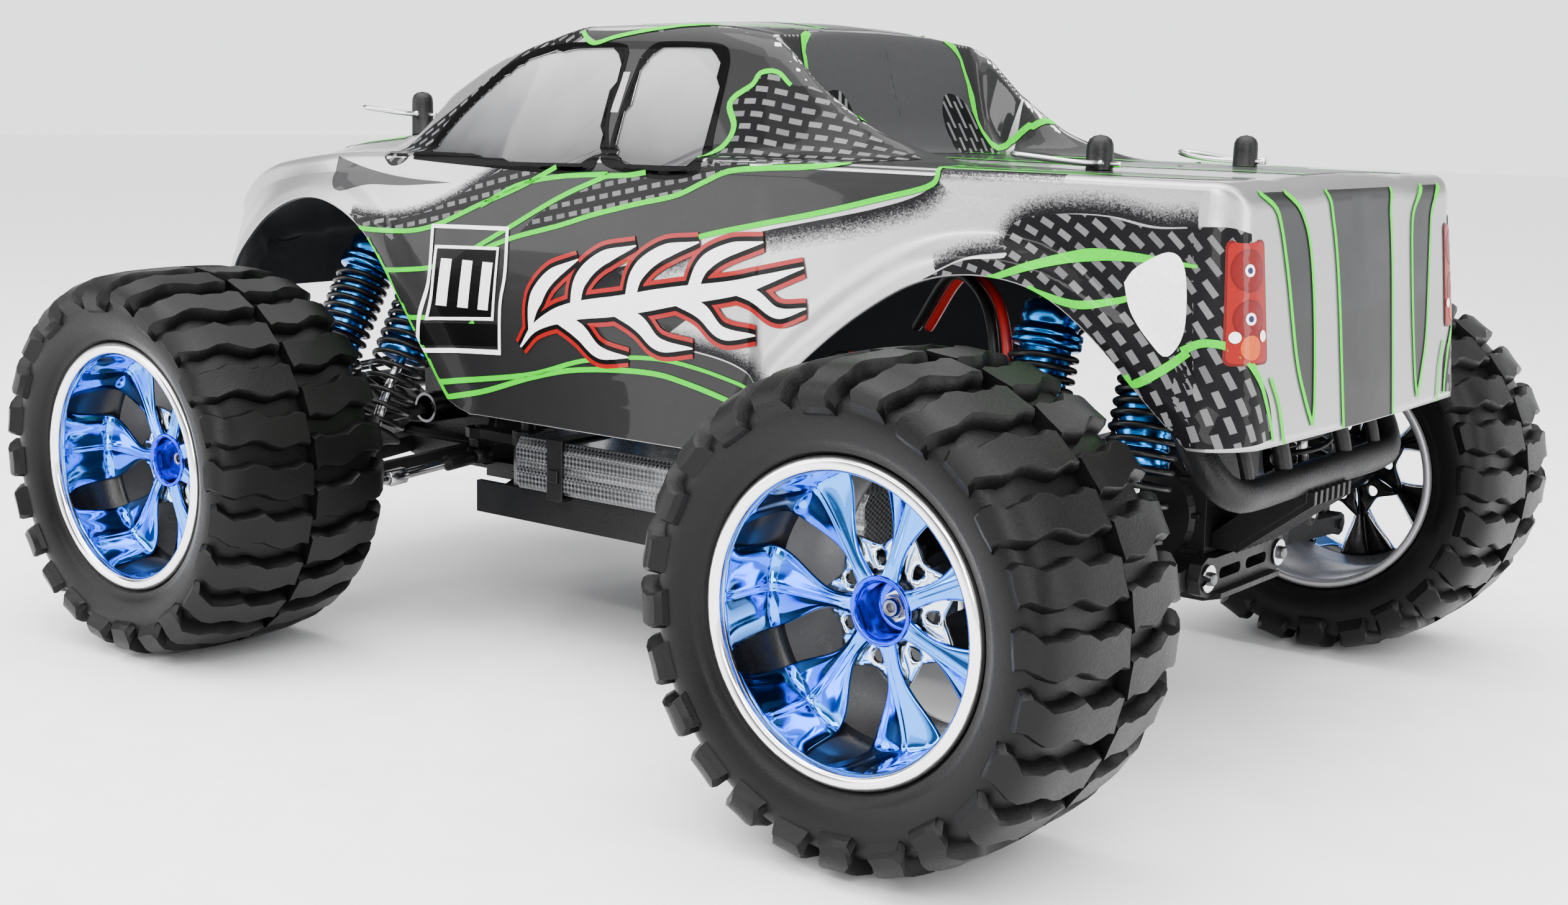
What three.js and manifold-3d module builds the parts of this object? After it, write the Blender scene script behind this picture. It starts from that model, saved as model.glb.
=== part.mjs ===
// A 1:10 radio-controlled monster truck, in millimetres. +X is forward, +Y is left, +Z is up.
// The origin is on the ground, under the middle of the truck.
// Each corner's parts are drawn once for the front axle and once for the rear, in a corner frame:
// u runs away from the truck's middle, v runs out to the side, z is up, and the axle is at u = 0.
import * as THREE from "three";
import { mergeVertices } from "three/addons/utils/BufferGeometryUtils.js";
import Module from "manifold-3d";

const wasm = await Module();
wasm.setup();

// Driving dimensions.
const FRONT_X = 129.5; // front axle
const REAR_X = -145.5; // rear axle
const AXLE_Z = 60.5; // also the tyre's radius
const TRACK = 132.5; // middle of the wheel
const TYRE_HALF_WIDTH = 30;
const RIM_R = 37.2;
const GAP = 0.35; // between pieces that only touch

const LOWER_IN = [22.6, 51.4]; // lower arm's inner pin, (v, z)
const LOWER_OUT = [100, 46]; // lower arm's outer pin
const REACH = [LOWER_OUT[0] - LOWER_IN[0], LOWER_OUT[1] - LOWER_IN[1]];
const UPPER_IN = [26, 85];
const SHAFT_Z = 65.9; // differential output
const LINK_U = 5; // upper link, beside the tower
const SHOCK_U = 17; // each shock, ahead of and behind the tower
const SHOCK_TOP = [38.5, 128];
const SHOCK_FOOT = { front: [79, 53.4], rear: [60, 56.4] };
const SHAFT_IN_V = { front: 30.6, rear: 24 };
const KINGPIN_V = SHAFT_IN_V.front + REACH[0];
const STEER_ARM = 24; // steering arm, knuckle and bellcrank alike
const TIE_IN = [SHAFT_IN_V.front, LOWER_IN[1]];
const BELLCRANK_U = -2 * STEER_ARM;
const HINGE_PIN_R = 1.5;
const HINGE_BORE_R = 1.9;
const CUP_R = 5.5;
const CUP_BORE_R = 4.2;
const BEARING_BORE_R = 6; // through a carrier or knuckle, round the stub axle
const SPOKES = 7;
const WHEEL_FACE = 8.5; // outer face of the spokes, out from the wheel's middle
const JOURNAL_R = 3.6; // stub axle in its bearings
const ARM_HALF_THICKNESS = 2.9;
const ARM_TIP_U = [7.5, 12.2]; // each of the two ears that take the outer pin
const SHOCK_PIN_R = 1.8;
const SHOCK_PIN_BORE_R = 2.3; // in the tower
const SHOCK_FOOT_BORE_R = 2.9; // in the arm, loose enough for the linear couplings
const SHOCK_R = 8.6;
const SHOCK_COLLAR = [33, 38]; // along the shock from its top eye
const SHOCK_COLLAR_R = 10.2;
const SHOCK_CUP_R = 9.2;
const SHAFT_R = 3.2;
const SPUR_R = 20;
const MOTOR_R = 18;
const MOTOR_AXIS = [-30, 66]; // (y, z)
const PACK_FLOOR_Z = 51.4; // battery and speed controller, on the tray's ledges

const TRAY_Z = [40.5, 43.5];
const TRAY_HALF_WIDTH = 62;
const POST = { front: [-10.5, 44, 174.4], rear: [-2.9, 44, 167.5] }; // u, v, top
const POST_R = 2.9;
const CLIP_DROP = 5.2; // clip hole, below the post's top
const CLIP_WIRE_R = 0.75;
const BUMPER_R = 3.4;
const BODY_THICKNESS = 1.5;

const paint = (color, roughness, metalness = 0) =>
  new THREE.MeshStandardMaterial({ color, roughness, metalness });
const MATERIALS = {
  body: paint(0xb8b6b8, 0.18, 0.3),
  tyre: paint(0x242424, 0.9),
  rim: paint(0x5f7fae, 0.12, 1),
  steel: paint(0x9a9a9c, 0.3, 1),
  blue: paint(0x1d4f9e, 0.3, 1),
  plastic: paint(0x17171a, 0.6),
  battery: paint(0x2c2c30, 0.35),
  electronics: paint(0x22262c, 0.5),
};

// ---------------------------------------------------------------- solids

// A closed geometry as a solid, whichever way its faces are wound.
function solid(geometry) {
  const bare = new THREE.BufferGeometry();
  bare.setAttribute("position", geometry.getAttribute("position").clone());
  if (geometry.index) bare.setIndex(geometry.index.clone());
  const merged = mergeVertices(bare, 1e-4);
  const triVerts = new Uint32Array(merged.index.array);
  const make = () =>
    new wasm.Manifold(
      new wasm.Mesh({ numProp: 3, vertProperties: merged.attributes.position.array, triVerts }),
    );
  const made = make();
  if (made.volume() > 0) return made;
  for (let i = 0; i < triVerts.length; i += 3)
    [triVerts[i + 1], triVerts[i + 2]] = [triVerts[i + 2], triVerts[i + 1]];
  return make();
}

const join = (...pieces) => pieces.flat().reduce((a, b) => a.add(b));
const cut = (from, ...tools) => tools.flat().reduce((a, b) => a.subtract(b), from);

function box([x0, x1], [y0, y1], [z0, z1]) {
  const geometry = new THREE.BoxGeometry(x1 - x0, y1 - y0, z1 - z0);
  return solid(geometry.translate((x0 + x1) / 2, (y0 + y1) / 2, (z0 + z1) / 2));
}

// A round bar from one point to another.
function rod(from, to, r, sides = 8) {
  const a = new THREE.Vector3(...from);
  const b = new THREE.Vector3(...to);
  const along = b.clone().sub(a);
  const geometry = new THREE.CylinderGeometry(r, r, along.length(), sides);
  const spin = new THREE.Quaternion().setFromUnitVectors(
    new THREE.Vector3(0, 1, 0),
    along.clone().normalize(),
  );
  geometry.applyQuaternion(spin);
  const middle = a.add(b).multiplyScalar(0.5);
  return solid(geometry.translate(middle.x, middle.y, middle.z));
}

const outlineOf = (points) => points.map(([a, b]) => new THREE.Vector2(a, b));

// An outline extruded along one axis, with holes cut through it. Points are (y, z), (x, z) or (x, y).
function prism(points, axis, [from, to], holes = []) {
  const shape = new THREE.Shape(outlineOf(points));
  const geometry = new THREE.ExtrudeGeometry(shape, { depth: to - from, bevelEnabled: false });
  const basis = new THREE.Matrix4();
  if (axis === "x") basis.set(0, 0, 1, from, 1, 0, 0, 0, 0, 1, 0, 0, 0, 0, 0, 1);
  if (axis === "y") basis.set(1, 0, 0, 0, 0, 0, -1, to, 0, 1, 0, 0, 0, 0, 0, 1);
  if (axis === "z") basis.makeTranslation(0, 0, from);
  const body = solid(geometry.applyMatrix4(basis));
  return cut(body, holes.map((hole) => prism(hole, axis, [from - 1, to + 1])));
}

// A profile of (radius, v) turned about a line along v, at (0, AXLE_Z).
function turned(profile, segments = 20) {
  const geometry = new THREE.LatheGeometry(outlineOf(profile), segments);
  return solid(geometry.translate(0, 0, AXLE_Z));
}

// A tube of one radius along a smooth curve through the points.
function tube(points, r, { sides = 8, steps = 24 } = {}) {
  const path = new THREE.CatmullRomCurve3(points.map((p) => new THREE.Vector3(...p)));
  const section = new THREE.Shape();
  for (let i = 0; i <= sides; i++) {
    const angle = (i / sides) * 2 * Math.PI;
    const [a, b] = [r * Math.cos(angle), r * Math.sin(angle)];
    if (i) section.lineTo(a, b);
    else section.moveTo(a, b);
  }
  return solid(new THREE.ExtrudeGeometry(section, { steps, extrudePath: path, bevelEnabled: false }));
}

function meshOf(name, shape, material) {
  const data = shape.getMesh();
  const geometry = new THREE.BufferGeometry();
  geometry.setAttribute("position", new THREE.BufferAttribute(data.vertProperties, 3));
  geometry.setIndex(new THREE.BufferAttribute(data.triVerts, 1));
  const flat = geometry.toNonIndexed();
  flat.computeVertexNormals();
  const mesh = new THREE.Mesh(flat, material);
  mesh.name = name;
  return mesh;
}

// ---------------------------------------------------------------- wheels

function tyre() {
  const w = TYRE_HALF_WIDTH;
  const bore = RIM_R + 0.4;
  const profile = [
    [bore, -24], [48, -w], [58, -25.5], [AXLE_Z, -17], [AXLE_Z, 17], [58, 25.5], [48, w],
    [39, 24], [bore, 23.6], [bore, 18], [54, 19], [54, -19], [bore, -18], [bore, -24],
  ];
  return turned(profile.map(([r, v]) => [r, v + TRACK]));
}

function rim() {
  const at = (profile) => profile.map(([r, v]) => [r, v + TRACK]);
  const inner = 34.8;
  const barrel = turned(
    at([
      [inner, -29.4], [RIM_R, -29.4], [RIM_R, 24.3], [38.3, 24.3], [38.3, 26.8],
      [35.4, 26.8], [inner, -29.4],
    ]),
  );
  const disc = turned(
    at([
      [0, -14], [9.6, -14], [9.6, 5.5], [inner + 0.6, 5.5], [inner + 0.6, WHEEL_FACE],
      [7.5, WHEEL_FACE], [7.5, -1], [0, -1], [0, -14],
    ]),
  );
  const bore = rod([0, TRACK - 15, AXLE_Z], [0, TRACK, AXLE_Z], 2.7);
  // Teardrop windows between the spokes, pointed at the hub.
  const window = [[0, 14.5], [9, 27], [6.5, 32.4], [-6.5, 32.4], [-9, 27]];
  const windows = Array.from({ length: SPOKES }, (_, i) => {
    const angle = (i / SPOKES) * 2 * Math.PI;
    const [c, s] = [Math.cos(angle), Math.sin(angle)];
    const outline = window.map(([a, b]) => [a * c - b * s, AXLE_Z + a * s + b * c]);
    return prism(outline, "y", [TRACK + WHEEL_FACE - 5.5, TRACK + WHEEL_FACE + 3.5]);
  });
  return cut(join(barrel, disc), bore, ...windows);
}

// Stub axle: a cup for the dogbone, a bearing journal, the wheel hex and the wheel nut.
function axle(cupV) {
  const shaft = turned([
    [0, cupV + 4.2], [CUP_BORE_R, cupV + 4.2], [CUP_BORE_R, cupV - 3.6], [CUP_R, cupV - 3.6],
    [CUP_R, cupV + 5], [JOURNAL_R, cupV + 5], [JOURNAL_R, 114], [2.3, 114], [2.3, 136.6],
    [0, 136.6], [0, cupV + 4.2],
  ], 10);
  const hex = rod([0, 113.4, AXLE_Z], [0, 118.1, AXLE_Z], 6.8, 6);
  const nut = rod([0, 131.9, AXLE_Z], [0, 135.6, AXLE_Z], 4, 6);
  return join(shaft, hex, nut);
}

// ---------------------------------------------------------------- suspension

const armAngle = Math.atan2(REACH[1], REACH[0]);
const armLength = Math.hypot(...REACH);

// Turns a solid drawn flat, with v along the arm from its inner pin, into its place.
function alongArm(pieces, [v, z]) {
  const data = pieces.getMesh();
  const geometry = new THREE.BufferGeometry();
  geometry.setAttribute("position", new THREE.BufferAttribute(data.vertProperties, 3));
  geometry.setIndex(new THREE.BufferAttribute(data.triVerts, 1));
  return solid(geometry.rotateX(armAngle).translate(0, v, z));
}

function lowerArm(end) {
  const foot = SHOCK_FOOT[end];
  const footV = (foot[0] - LOWER_IN[0]) / Math.cos(armAngle);
  const footZ = foot[1] - LOWER_IN[1] - footV * Math.sin(armAngle);
  const innerU = [-16.6, 20.8];
  const [earIn, earOut] = ARM_TIP_U;
  const tip = armLength + 2;
  const outline = [
    [innerU[0], 0], [innerU[1], 0], [innerU[1], 8], [13.4, 34], [earOut, armLength - 3], [earOut, tip],
    [earIn, tip], [earIn, armLength - 7], [-earIn, armLength - 7], [-earIn, tip],
    [-earOut, tip], [-earOut, armLength - 3], [-13.4, 34], [innerU[0], 8],
  ];
  // Lightening holes either side of the rib that carries the shocks.
  const edge = (v) => (v < 34 ? 13.6 - (v / 34) * 3.6 : 10 - (v - 34) / 30);
  const opening = (v0, v1) => [[-edge(v0), v0], [edge(v0), v0], [edge(v1), v1], [-edge(v1), v1]];
  const plate = prism(outline, "z", [-ARM_HALF_THICKNESS, ARM_HALF_THICKNESS], [
    opening(6.4, footV - 6),
    opening(footV + 6, Math.max(armLength - 13, footV + 9)),
  ]);
  const innerSleeve = rod([innerU[0], 0, 0], [innerU[1], 0, 0], 4.2);
  const ears = [-1, 1].map((s) => rod([s * earIn, armLength, 0], [s * earOut, armLength, 0], 3.8));
  const lug = box([-5, 5], [footV - 4.4, footV + 4.4], [0, footZ + 3.6]);
  const bores = [
    rod([-30, 0, 0], [30, 0, 0], HINGE_BORE_R),
    rod([-30, armLength, 0], [30, armLength, 0], HINGE_BORE_R),
    rod([-30, footV, footZ], [30, footV, footZ], SHOCK_FOOT_BORE_R),
  ];
  return alongArm(cut(join(plate, innerSleeve, ears, lug), bores), LOWER_IN);
}

function upperLink() {
  const u = [LINK_U - 2.1, LINK_U + 2.1];
  const eyes = [0, armLength].map((v) => rod([u[0], v, 0], [u[1], v, 0], 4.4));
  const bar = rod([LINK_U, 0, 0], [LINK_U, armLength, 0], 2, 6);
  const bores = [0, armLength].map((v) => rod([-30, v, 0], [30, v, 0], HINGE_BORE_R));
  return alongArm(cut(join(eyes, bar), bores), UPPER_IN);
}

function driveshaft(end) {
  const bar = rod([0, 0, 0], [0, armLength, 0], 2, 6);
  const balls = [0, armLength].map((v) => {
    const geometry = new THREE.SphereGeometry(2.9, 6, 5);
    return solid(geometry.translate(0, v, 0));
  });
  return alongArm(join(bar, balls), [SHAFT_IN_V[end], SHAFT_Z]);
}

// Lug and stud for the upper link, on a carrier.
function upperLug(bottom) {
  const [v, z] = [UPPER_IN[0] + REACH[0], UPPER_IN[1] + REACH[1]];
  return join(
    box([-2.5, 2.5], [v - 3.6, v + 3.6], [bottom, z + 3]),
    rod([-2.5, v, z], [8, v, z], HINGE_PIN_R),
  );
}

const lowerLug = () =>
  join(
    box([-6.8, 6.8], [LOWER_OUT[0] - 3.2, LOWER_OUT[0] + 3.4], [42.6, 49.6]),
    rod([-12.8, ...LOWER_OUT], [12.8, ...LOWER_OUT], HINGE_PIN_R),
  );

function rearCarrier() {
  const housing = join(
    rod([0, 97, AXLE_Z], [0, 112.9, AXLE_Z], 9.4, 12),
    box([-7, 7], [97, 103.4], [47, AXLE_Z]),
    box([-4, 4], [99.8, 107], [AXLE_Z, 73]),
  );
  const bore = rod([0, 90, AXLE_Z], [0, 120, AXLE_Z], BEARING_BORE_R, 10);
  return join(cut(housing, bore), lowerLug(), upperLug(70));
}

// Caster block: a C whose kingpins hold the steering knuckle.
function casterBlock() {
  const wall = box([-6.9, 6.9], [97, 100.8], [47, 74.5]);
  const plates = [[45.6, 49.6], [70.5, 74.5]].map((z) => box([-6, 6], [97, 112], z));
  const hole = rod([0, 90, AXLE_Z], [0, 101.2, AXLE_Z], 5.6, 10);
  const kingpins = [[49, 53.2], [67.6, 71]].map(([z0, z1]) =>
    rod([0, KINGPIN_V, z0], [0, KINGPIN_V, z1], HINGE_PIN_R),
  );
  return join(cut(join(wall, plates), hole), kingpins, lowerLug(), upperLug(72));
}

function knuckle() {
  const block = box([-7, 7], [103.6, 112.9], [50, 70.1]);
  const arm = prism(
    [[-7, 104.5], [-7, 111.5], [-STEER_ARM - 2, 110.5], [-STEER_ARM - 2.6, 105.5]],
    "z",
    [50.2, 53.2],
  );
  const stud = rod([-STEER_ARM, KINGPIN_V, 42.6], [-STEER_ARM, KINGPIN_V, 51], HINGE_PIN_R);
  const bore = rod([0, 90, AXLE_Z], [0, 120, AXLE_Z], BEARING_BORE_R, 10);
  const pinHoles = [[49, 54], [67, 72]].map(([z0, z1]) =>
    rod([0, KINGPIN_V, z0], [0, KINGPIN_V, z1], HINGE_BORE_R),
  );
  return join(cut(block, bore, pinHoles), arm, stud);
}

// ---------------------------------------------------------------- shocks

const SHOCK_SEAT = 46; // where the body ends, along the shock from its top eye
const CUP_FROM_FOOT = 10;

// A point along a shock from its top eye, at one of its two places.
function onShock(end, distance, u) {
  const [v0, z0] = SHOCK_TOP;
  const [v1, z1] = SHOCK_FOOT[end];
  const length = Math.hypot(v1 - v0, z1 - z0);
  return [u, v0 + ((v1 - v0) * distance) / length, z0 + ((z1 - z0) * distance) / length];
}
const shockLength = (end) =>
  Math.hypot(SHOCK_FOOT[end][0] - SHOCK_TOP[0], SHOCK_FOOT[end][1] - SHOCK_TOP[1]);

function shockBodies(end) {
  const one = (u) => {
    const at = (distance) => onShock(end, distance, u);
    const body = join(
      rod([u - 2.5, ...SHOCK_TOP], [u + 2.5, ...SHOCK_TOP], 4.4, 6),
      rod(at(3.6), at(SHOCK_SEAT), SHOCK_R),
      rod(at(SHOCK_COLLAR[0]), at(SHOCK_COLLAR[1]), SHOCK_COLLAR_R),
    );
    return cut(body, rod(at(9), at(SHOCK_SEAT + 1), 2.8, 6));
  };
  const pin = rod([-SHOCK_U, ...SHOCK_TOP], [SHOCK_U, ...SHOCK_TOP], SHOCK_PIN_R, 6);
  return join(one(-SHOCK_U), one(SHOCK_U), pin);
}

function shockRods(end) {
  const foot = shockLength(end);
  const one = (u) => {
    const at = (distance) => onShock(end, distance, u);
    return join(
      rod(at(26), at(foot), SHOCK_PIN_R, 6),
      rod(at(foot - CUP_FROM_FOOT - 2.5), at(foot - CUP_FROM_FOOT), SHOCK_CUP_R),
      rod([u - 2.5, ...SHOCK_FOOT[end]], [u + 2.5, ...SHOCK_FOOT[end]], 3.8, 6),
    );
  };
  const pin = rod([-SHOCK_U, ...SHOCK_FOOT[end]], [SHOCK_U, ...SHOCK_FOOT[end]], HINGE_PIN_R, 6);
  return join(one(-SHOCK_U), one(SHOCK_U), pin);
}

function shockTower(end) {
  const half = [
    [0, 85.4], [19.5, 85.4], [20.5, 80.5], [30.5, 80.5], [31, 92], [24, 102], [31, 118], [44, 122],
    [47, 131], [47, 138], [38, 139], [30, 135], [22, 126], [0, 121],
  ];
  const outline = [...half, ...half.slice(1, -1).reverse().map(([v, z]) => [-v, z])];
  const slot = [[-4, 92], [4, 92], [4, 112], [-4, 112]];
  const slots = [-11, 0, 11].map((middle) => slot.map(([v, z]) => [v + middle, z]));
  const plate = prism(outline, "x", [-2.5, 2.5], slots);
  const [postU, postV, postTop] = POST[end];
  const sides = [-1, 1].map((s) => {
    const v = s * postV;
    const post = join(
      box([Math.min(postU, 0), 2.5], [v - 3, v + 3], [134, 138.6]),
      rod([postU, v, 134], [postU, v, postTop], POST_R),
      rod([postU, v, postTop - 16.5], [postU, v, postTop - 14.5], 5.5),
    );
    const clipZ = postTop - CLIP_DROP;
    const clipHole = rod([postU - 9, v, clipZ], [postU + 9, v, clipZ], 1.3, 8);
    const [studV, studZ] = [s * UPPER_IN[0], UPPER_IN[1]];
    const stud = rod([2.5, studV, studZ], [8.4, studV, studZ], HINGE_PIN_R);
    return join(cut(post, clipHole), stud);
  });
  const pinHoles = [-1, 1].map((s) =>
    rod([-5, s * SHOCK_TOP[0], SHOCK_TOP[1]], [5, s * SHOCK_TOP[0], SHOCK_TOP[1]], SHOCK_PIN_BORE_R),
  );
  return join(cut(plate, pinHoles), sides);
}

// ---------------------------------------------------------------- chassis

// Bulkhead and differential case, with hinge pins and output cups on both sides.
function gearbox(end) {
  const cupV = SHAFT_IN_V[end];
  const housing = join(
    rod([0, -17.8, SHAFT_Z], [0, 17.8, SHAFT_Z], 18.6, 14),
    box([-18, 20.5], [-16.5, 16.5], [46, 85]),
    rod([-18, 0, SHAFT_Z], [-21.2, 0, SHAFT_Z], 7.2),
  );
  const skid = box([-34, 24.4], [-16.5, 16.5], [TRAY_Z[1] + GAP, 47]);
  const plates = [[-20, -17], [21.2, 24.4]].map((u) => box(u, [-27, 27], [44.6, 57.5]));
  const sides = [-1, 1].map((s) => {
    const [pinV, pinZ] = [s * LOWER_IN[0], LOWER_IN[1]];
    const pin = rod([-20, pinV, pinZ], [26.2, pinV, pinZ], HINGE_PIN_R);
    const cup = rod([0, s * 17, SHAFT_Z], [0, s * (cupV + 4), SHAFT_Z], CUP_R);
    return join(pin, cup);
  });
  const cupBores = [-1, 1].map((s) =>
    rod([0, s * (cupV - 4), SHAFT_Z], [0, s * (cupV + 6), SHAFT_Z], CUP_BORE_R),
  );
  const inputBore = rod([-23, 0, SHAFT_Z], [-15, 0, SHAFT_Z], 3.6);
  return cut(join(housing, skid, plates, sides), cupBores, inputBore);
}

function chassisTray() {
  const w = TRAY_HALF_WIDTH;
  const tongue = [REAR_X + 12, FRONT_X - 12];
  const floor = prism(
    [
      [-96, -w], [74, -w], [92, -30], [100, -16], [tongue[1], -16], [tongue[1], 16], [100, 16],
      [92, 30], [74, w], [-96, w], [-116, 22], [-120, 16], [tongue[0], 16], [tongue[0], -16],
      [-120, -16], [-116, -22],
    ],
    "z",
    TRAY_Z,
  );
  const crankX = FRONT_X + BELLCRANK_U;
  const sides = [-1, 1].map((s) => {
    const v = (a, b) => [Math.min(s * a, s * b), Math.max(s * a, s * b)];
    return join(
      box([-96, 74], v(w - 2.2, w), [TRAY_Z[0], 51]),
      box([-90, 54], v(40, w - 1), [TRAY_Z[1] - 1, 51]),
      rod([crankX, s * TIE_IN[0], 42], [crankX, s * TIE_IN[0], 66], 2.5),
      rod([crankX, s * TIE_IN[0], 42], [crankX, s * TIE_IN[0], 57.4], 5),
    );
  });
  const bearings = [-84, 56].map((x) =>
    cut(
      box([x - 3, x + 3], [-9, 9], [TRAY_Z[1] - 1, 74]),
      rod([x - 5, 0, SHAFT_Z], [x + 5, 0, SHAFT_Z], 3.6),
    ),
  );
  return join(floor, sides, bearings);
}

function centreDriveshaft() {
  return join(
    rod([REAR_X + 22, 0, SHAFT_Z], [FRONT_X - 19, 0, SHAFT_Z], SHAFT_R, 10),
    rod([-2, 0, SHAFT_Z], [3, 0, SHAFT_Z], SPUR_R, 16),
  );
}

function motor() {
  return join(
    rod([-68, ...MOTOR_AXIS], [-12, ...MOTOR_AXIS], MOTOR_R, 12),
    rod([-12, ...MOTOR_AXIS], [4, ...MOTOR_AXIS], 2, 8),
    rod([-2, ...MOTOR_AXIS], [3, ...MOTOR_AXIS], 9, 10),
    box([-62, -18], [-38.6, -22], [TRAY_Z[1] + GAP, 60]),
  );
}

function batteryPack() {
  const profile = [
    [44, PACK_FLOOR_Z], [65, PACK_FLOOR_Z], [65.6, 54], [65.6, 59], [64.4, 60.4], [65.6, 62],
    [65.6, 66], [63, 69], [46.5, 69], [44, 66],
  ];
  return prism(profile, "x", [-86, 52]);
}

function speedController() {
  const lid = box([-46, 12], [-58, -51.5], [PACK_FLOOR_Z, 78]);
  return join(box([-56, 22], [-58, -51], [PACK_FLOOR_Z, 70]), lid);
}

const steeringServo = () =>
  join(box([12, 50], [12, 34], [TRAY_Z[1] + GAP, 66]), rod([44, 22, 65], [44, 22, 71], 3));

// ---------------------------------------------------------------- steering

function bellcrank() {
  const v = TIE_IN[0];
  const arm = prism(
    [[BELLCRANK_U, v - 4], [-STEER_ARM, v - 3.4], [-STEER_ARM, v + 3.4], [BELLCRANK_U, v + 4]],
    "z",
    [58, 61.4],
  );
  const ends = [
    rod([BELLCRANK_U, v, 57.8], [BELLCRANK_U, v, 63], 5.6),
    rod([-STEER_ARM, v, 58], [-STEER_ARM, v, 61.4], 5),
  ];
  const holes = [
    rod([BELLCRANK_U, v, 50], [BELLCRANK_U, v, 70], 2.9),
    rod([-STEER_ARM, v, 50], [-STEER_ARM, v, 70], 3.2),
  ];
  return cut(join(arm, ends), holes);
}

function dragLink() {
  const [v, z] = TIE_IN;
  const bar = box([-STEER_ARM - 2.2, -STEER_ARM + 2.2], [-v - 3, v + 3], [54.6, 57.4]);
  const studs = [-1, 1].map((s) =>
    rod([-STEER_ARM, s * v, z - 2.6], [-STEER_ARM, s * v, 62], HINGE_PIN_R),
  );
  return join(bar, studs);
}

function tieRod() {
  const u = -STEER_ARM;
  const eyes = [[0, 3.9, 2.6], [armLength, 5.3, 3.7]].map(([v, outer]) =>
    rod([u, v, -2], [u, v, 2], outer),
  );
  const bar = rod([u, 0, 0], [u, armLength, 0], 1.6, 8);
  const hex = rod([u, 34, 0], [u, 52, 0], 2.9, 6);
  const holes = [[0, 2.6], [armLength, 3.7]].map(([v, r]) => rod([u, v, -6], [u, v, 6], r));
  return alongArm(cut(join(eyes, bar, hex), holes), TIE_IN);
}

// ---------------------------------------------------------------- bumpers

function rearBumper() {
  const bar = tube([[30, -60, 90], [39, -58, 84.5], [44.5, -47, 80], [44.5, 0, 80], [44.5, 47, 80],
    [39, 58, 84.5], [30, 60, 90]], BUMPER_R, { sides: 6, steps: 14 });
  const ribs = [-11, 0, 11].map((v) =>
    prism([[26.8, 45], [31, 45], [46, 72], [46, 79], [41, 79], [26.8, 57]], "y", [v - 0.9, v + 0.9]),
  );
  const plate = prism([[26.8, 45], [31, 45], [46, 72], [46, 79], [26.8, 50]], "y", [-12.5, 12.5]);
  const struts = [-1, 1].flatMap((s) => [
    rod([44.5, s * 20, 80], [33, s * 20, 114], 2.4, 8),
    rod([44.5, s * 42, 80], [33, s * 42, 114], 2.4, 8),
  ]);
  const hoop = rod([33, -44, 114], [33, 44, 114], 2.6, 8);
  return join(bar, ribs, plate, struts, hoop);
}

function frontBumper() {
  const bar = tube([[58, -62, 70], [68, -58, 66], [72.5, -46, 64], [72.5, 0, 64], [72.5, 46, 64],
    [68, 58, 66], [58, 62, 70]], BUMPER_R, { sides: 6, steps: 14 });
  const plate = prism([[26.8, 45], [60, 50], [73, 61], [73, 66], [58, 58], [26.8, 54]], "y", [-22, 22]);
  const struts = [-1, 1].map((s) => rod([73, s * 34, 64], [40, s * 18, 50], 2.6, 8));
  return join(bar, plate, struts);
}

// ---------------------------------------------------------------- body

// A value at x, from [x, value] pairs joined by straight stretches.
function along(stations, x) {
  if (x <= stations[0][0]) return stations[0][1];
  for (let i = 1; i < stations.length; i++) {
    const [x0, a] = stations[i - 1];
    const [x1, b] = stations[i];
    if (x <= x1) return a + ((b - a) * (x - x0)) / (x1 - x0);
  }
  return stations[stations.length - 1][1];
}

const BODY = {
  deck: [[-197, 144], [-194, 149], [-190, 156], [-185, 160], [-60, 160.5], [60, 158], [112, 157],
    [160, 152], [190, 141], [200, 133], [204, 127], [206, 121]],
  middle: [[-197, 144.5], [-194, 149.5], [-190, 156.5], [-185, 160.8], [-56, 161.2], [-50, 168],
    [-38, 197.5], [-10, 200], [30, 199.5], [49, 195.5], [94, 179.5], [112, 165.5], [119, 164.6],
    [160, 159.5], [190, 149], [200, 140], [204, 133], [206, 125]],
  edge: [[-197, 144.3], [-194, 149.3], [-190, 156.3], [-185, 160.4], [-110, 160.9], [-80, 168], [-60, 180],
    [-40, 195.5], [-10, 198.5], [30, 198], [49, 194], [94, 178.5], [112, 163.5], [119, 162.5],
    [160, 157], [190, 146], [200, 138], [204, 131], [206, 124]],
  bottomHalf: [[-197, 72], [-185, 76], [-145, 82], [-80, 81], [-40, 78], [60, 78], [100, 82], [140, 82],
    [175, 76], [195, 66], [203, 58], [206, 48]],
  topHalf: [[-197, 69], [-190, 72], [-185, 74], [-60, 76], [60, 76], [118, 75], [160, 72], [190, 64],
    [200, 57], [206, 44]],
  baseHalf: [[-197, 60], [-185, 64], [-60, 66], [-40, 70], [60, 71], [100, 68], [118, 64], [160, 60],
    [190, 52], [200, 46], [206, 36]],
  roofHalf: [[-197, 50], [-110, 52], [-50, 57], [40, 58], [94, 53], [118, 50], [160, 44], [200, 34],
    [206, 26]],
};
const BODY_LOW = 70;

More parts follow.
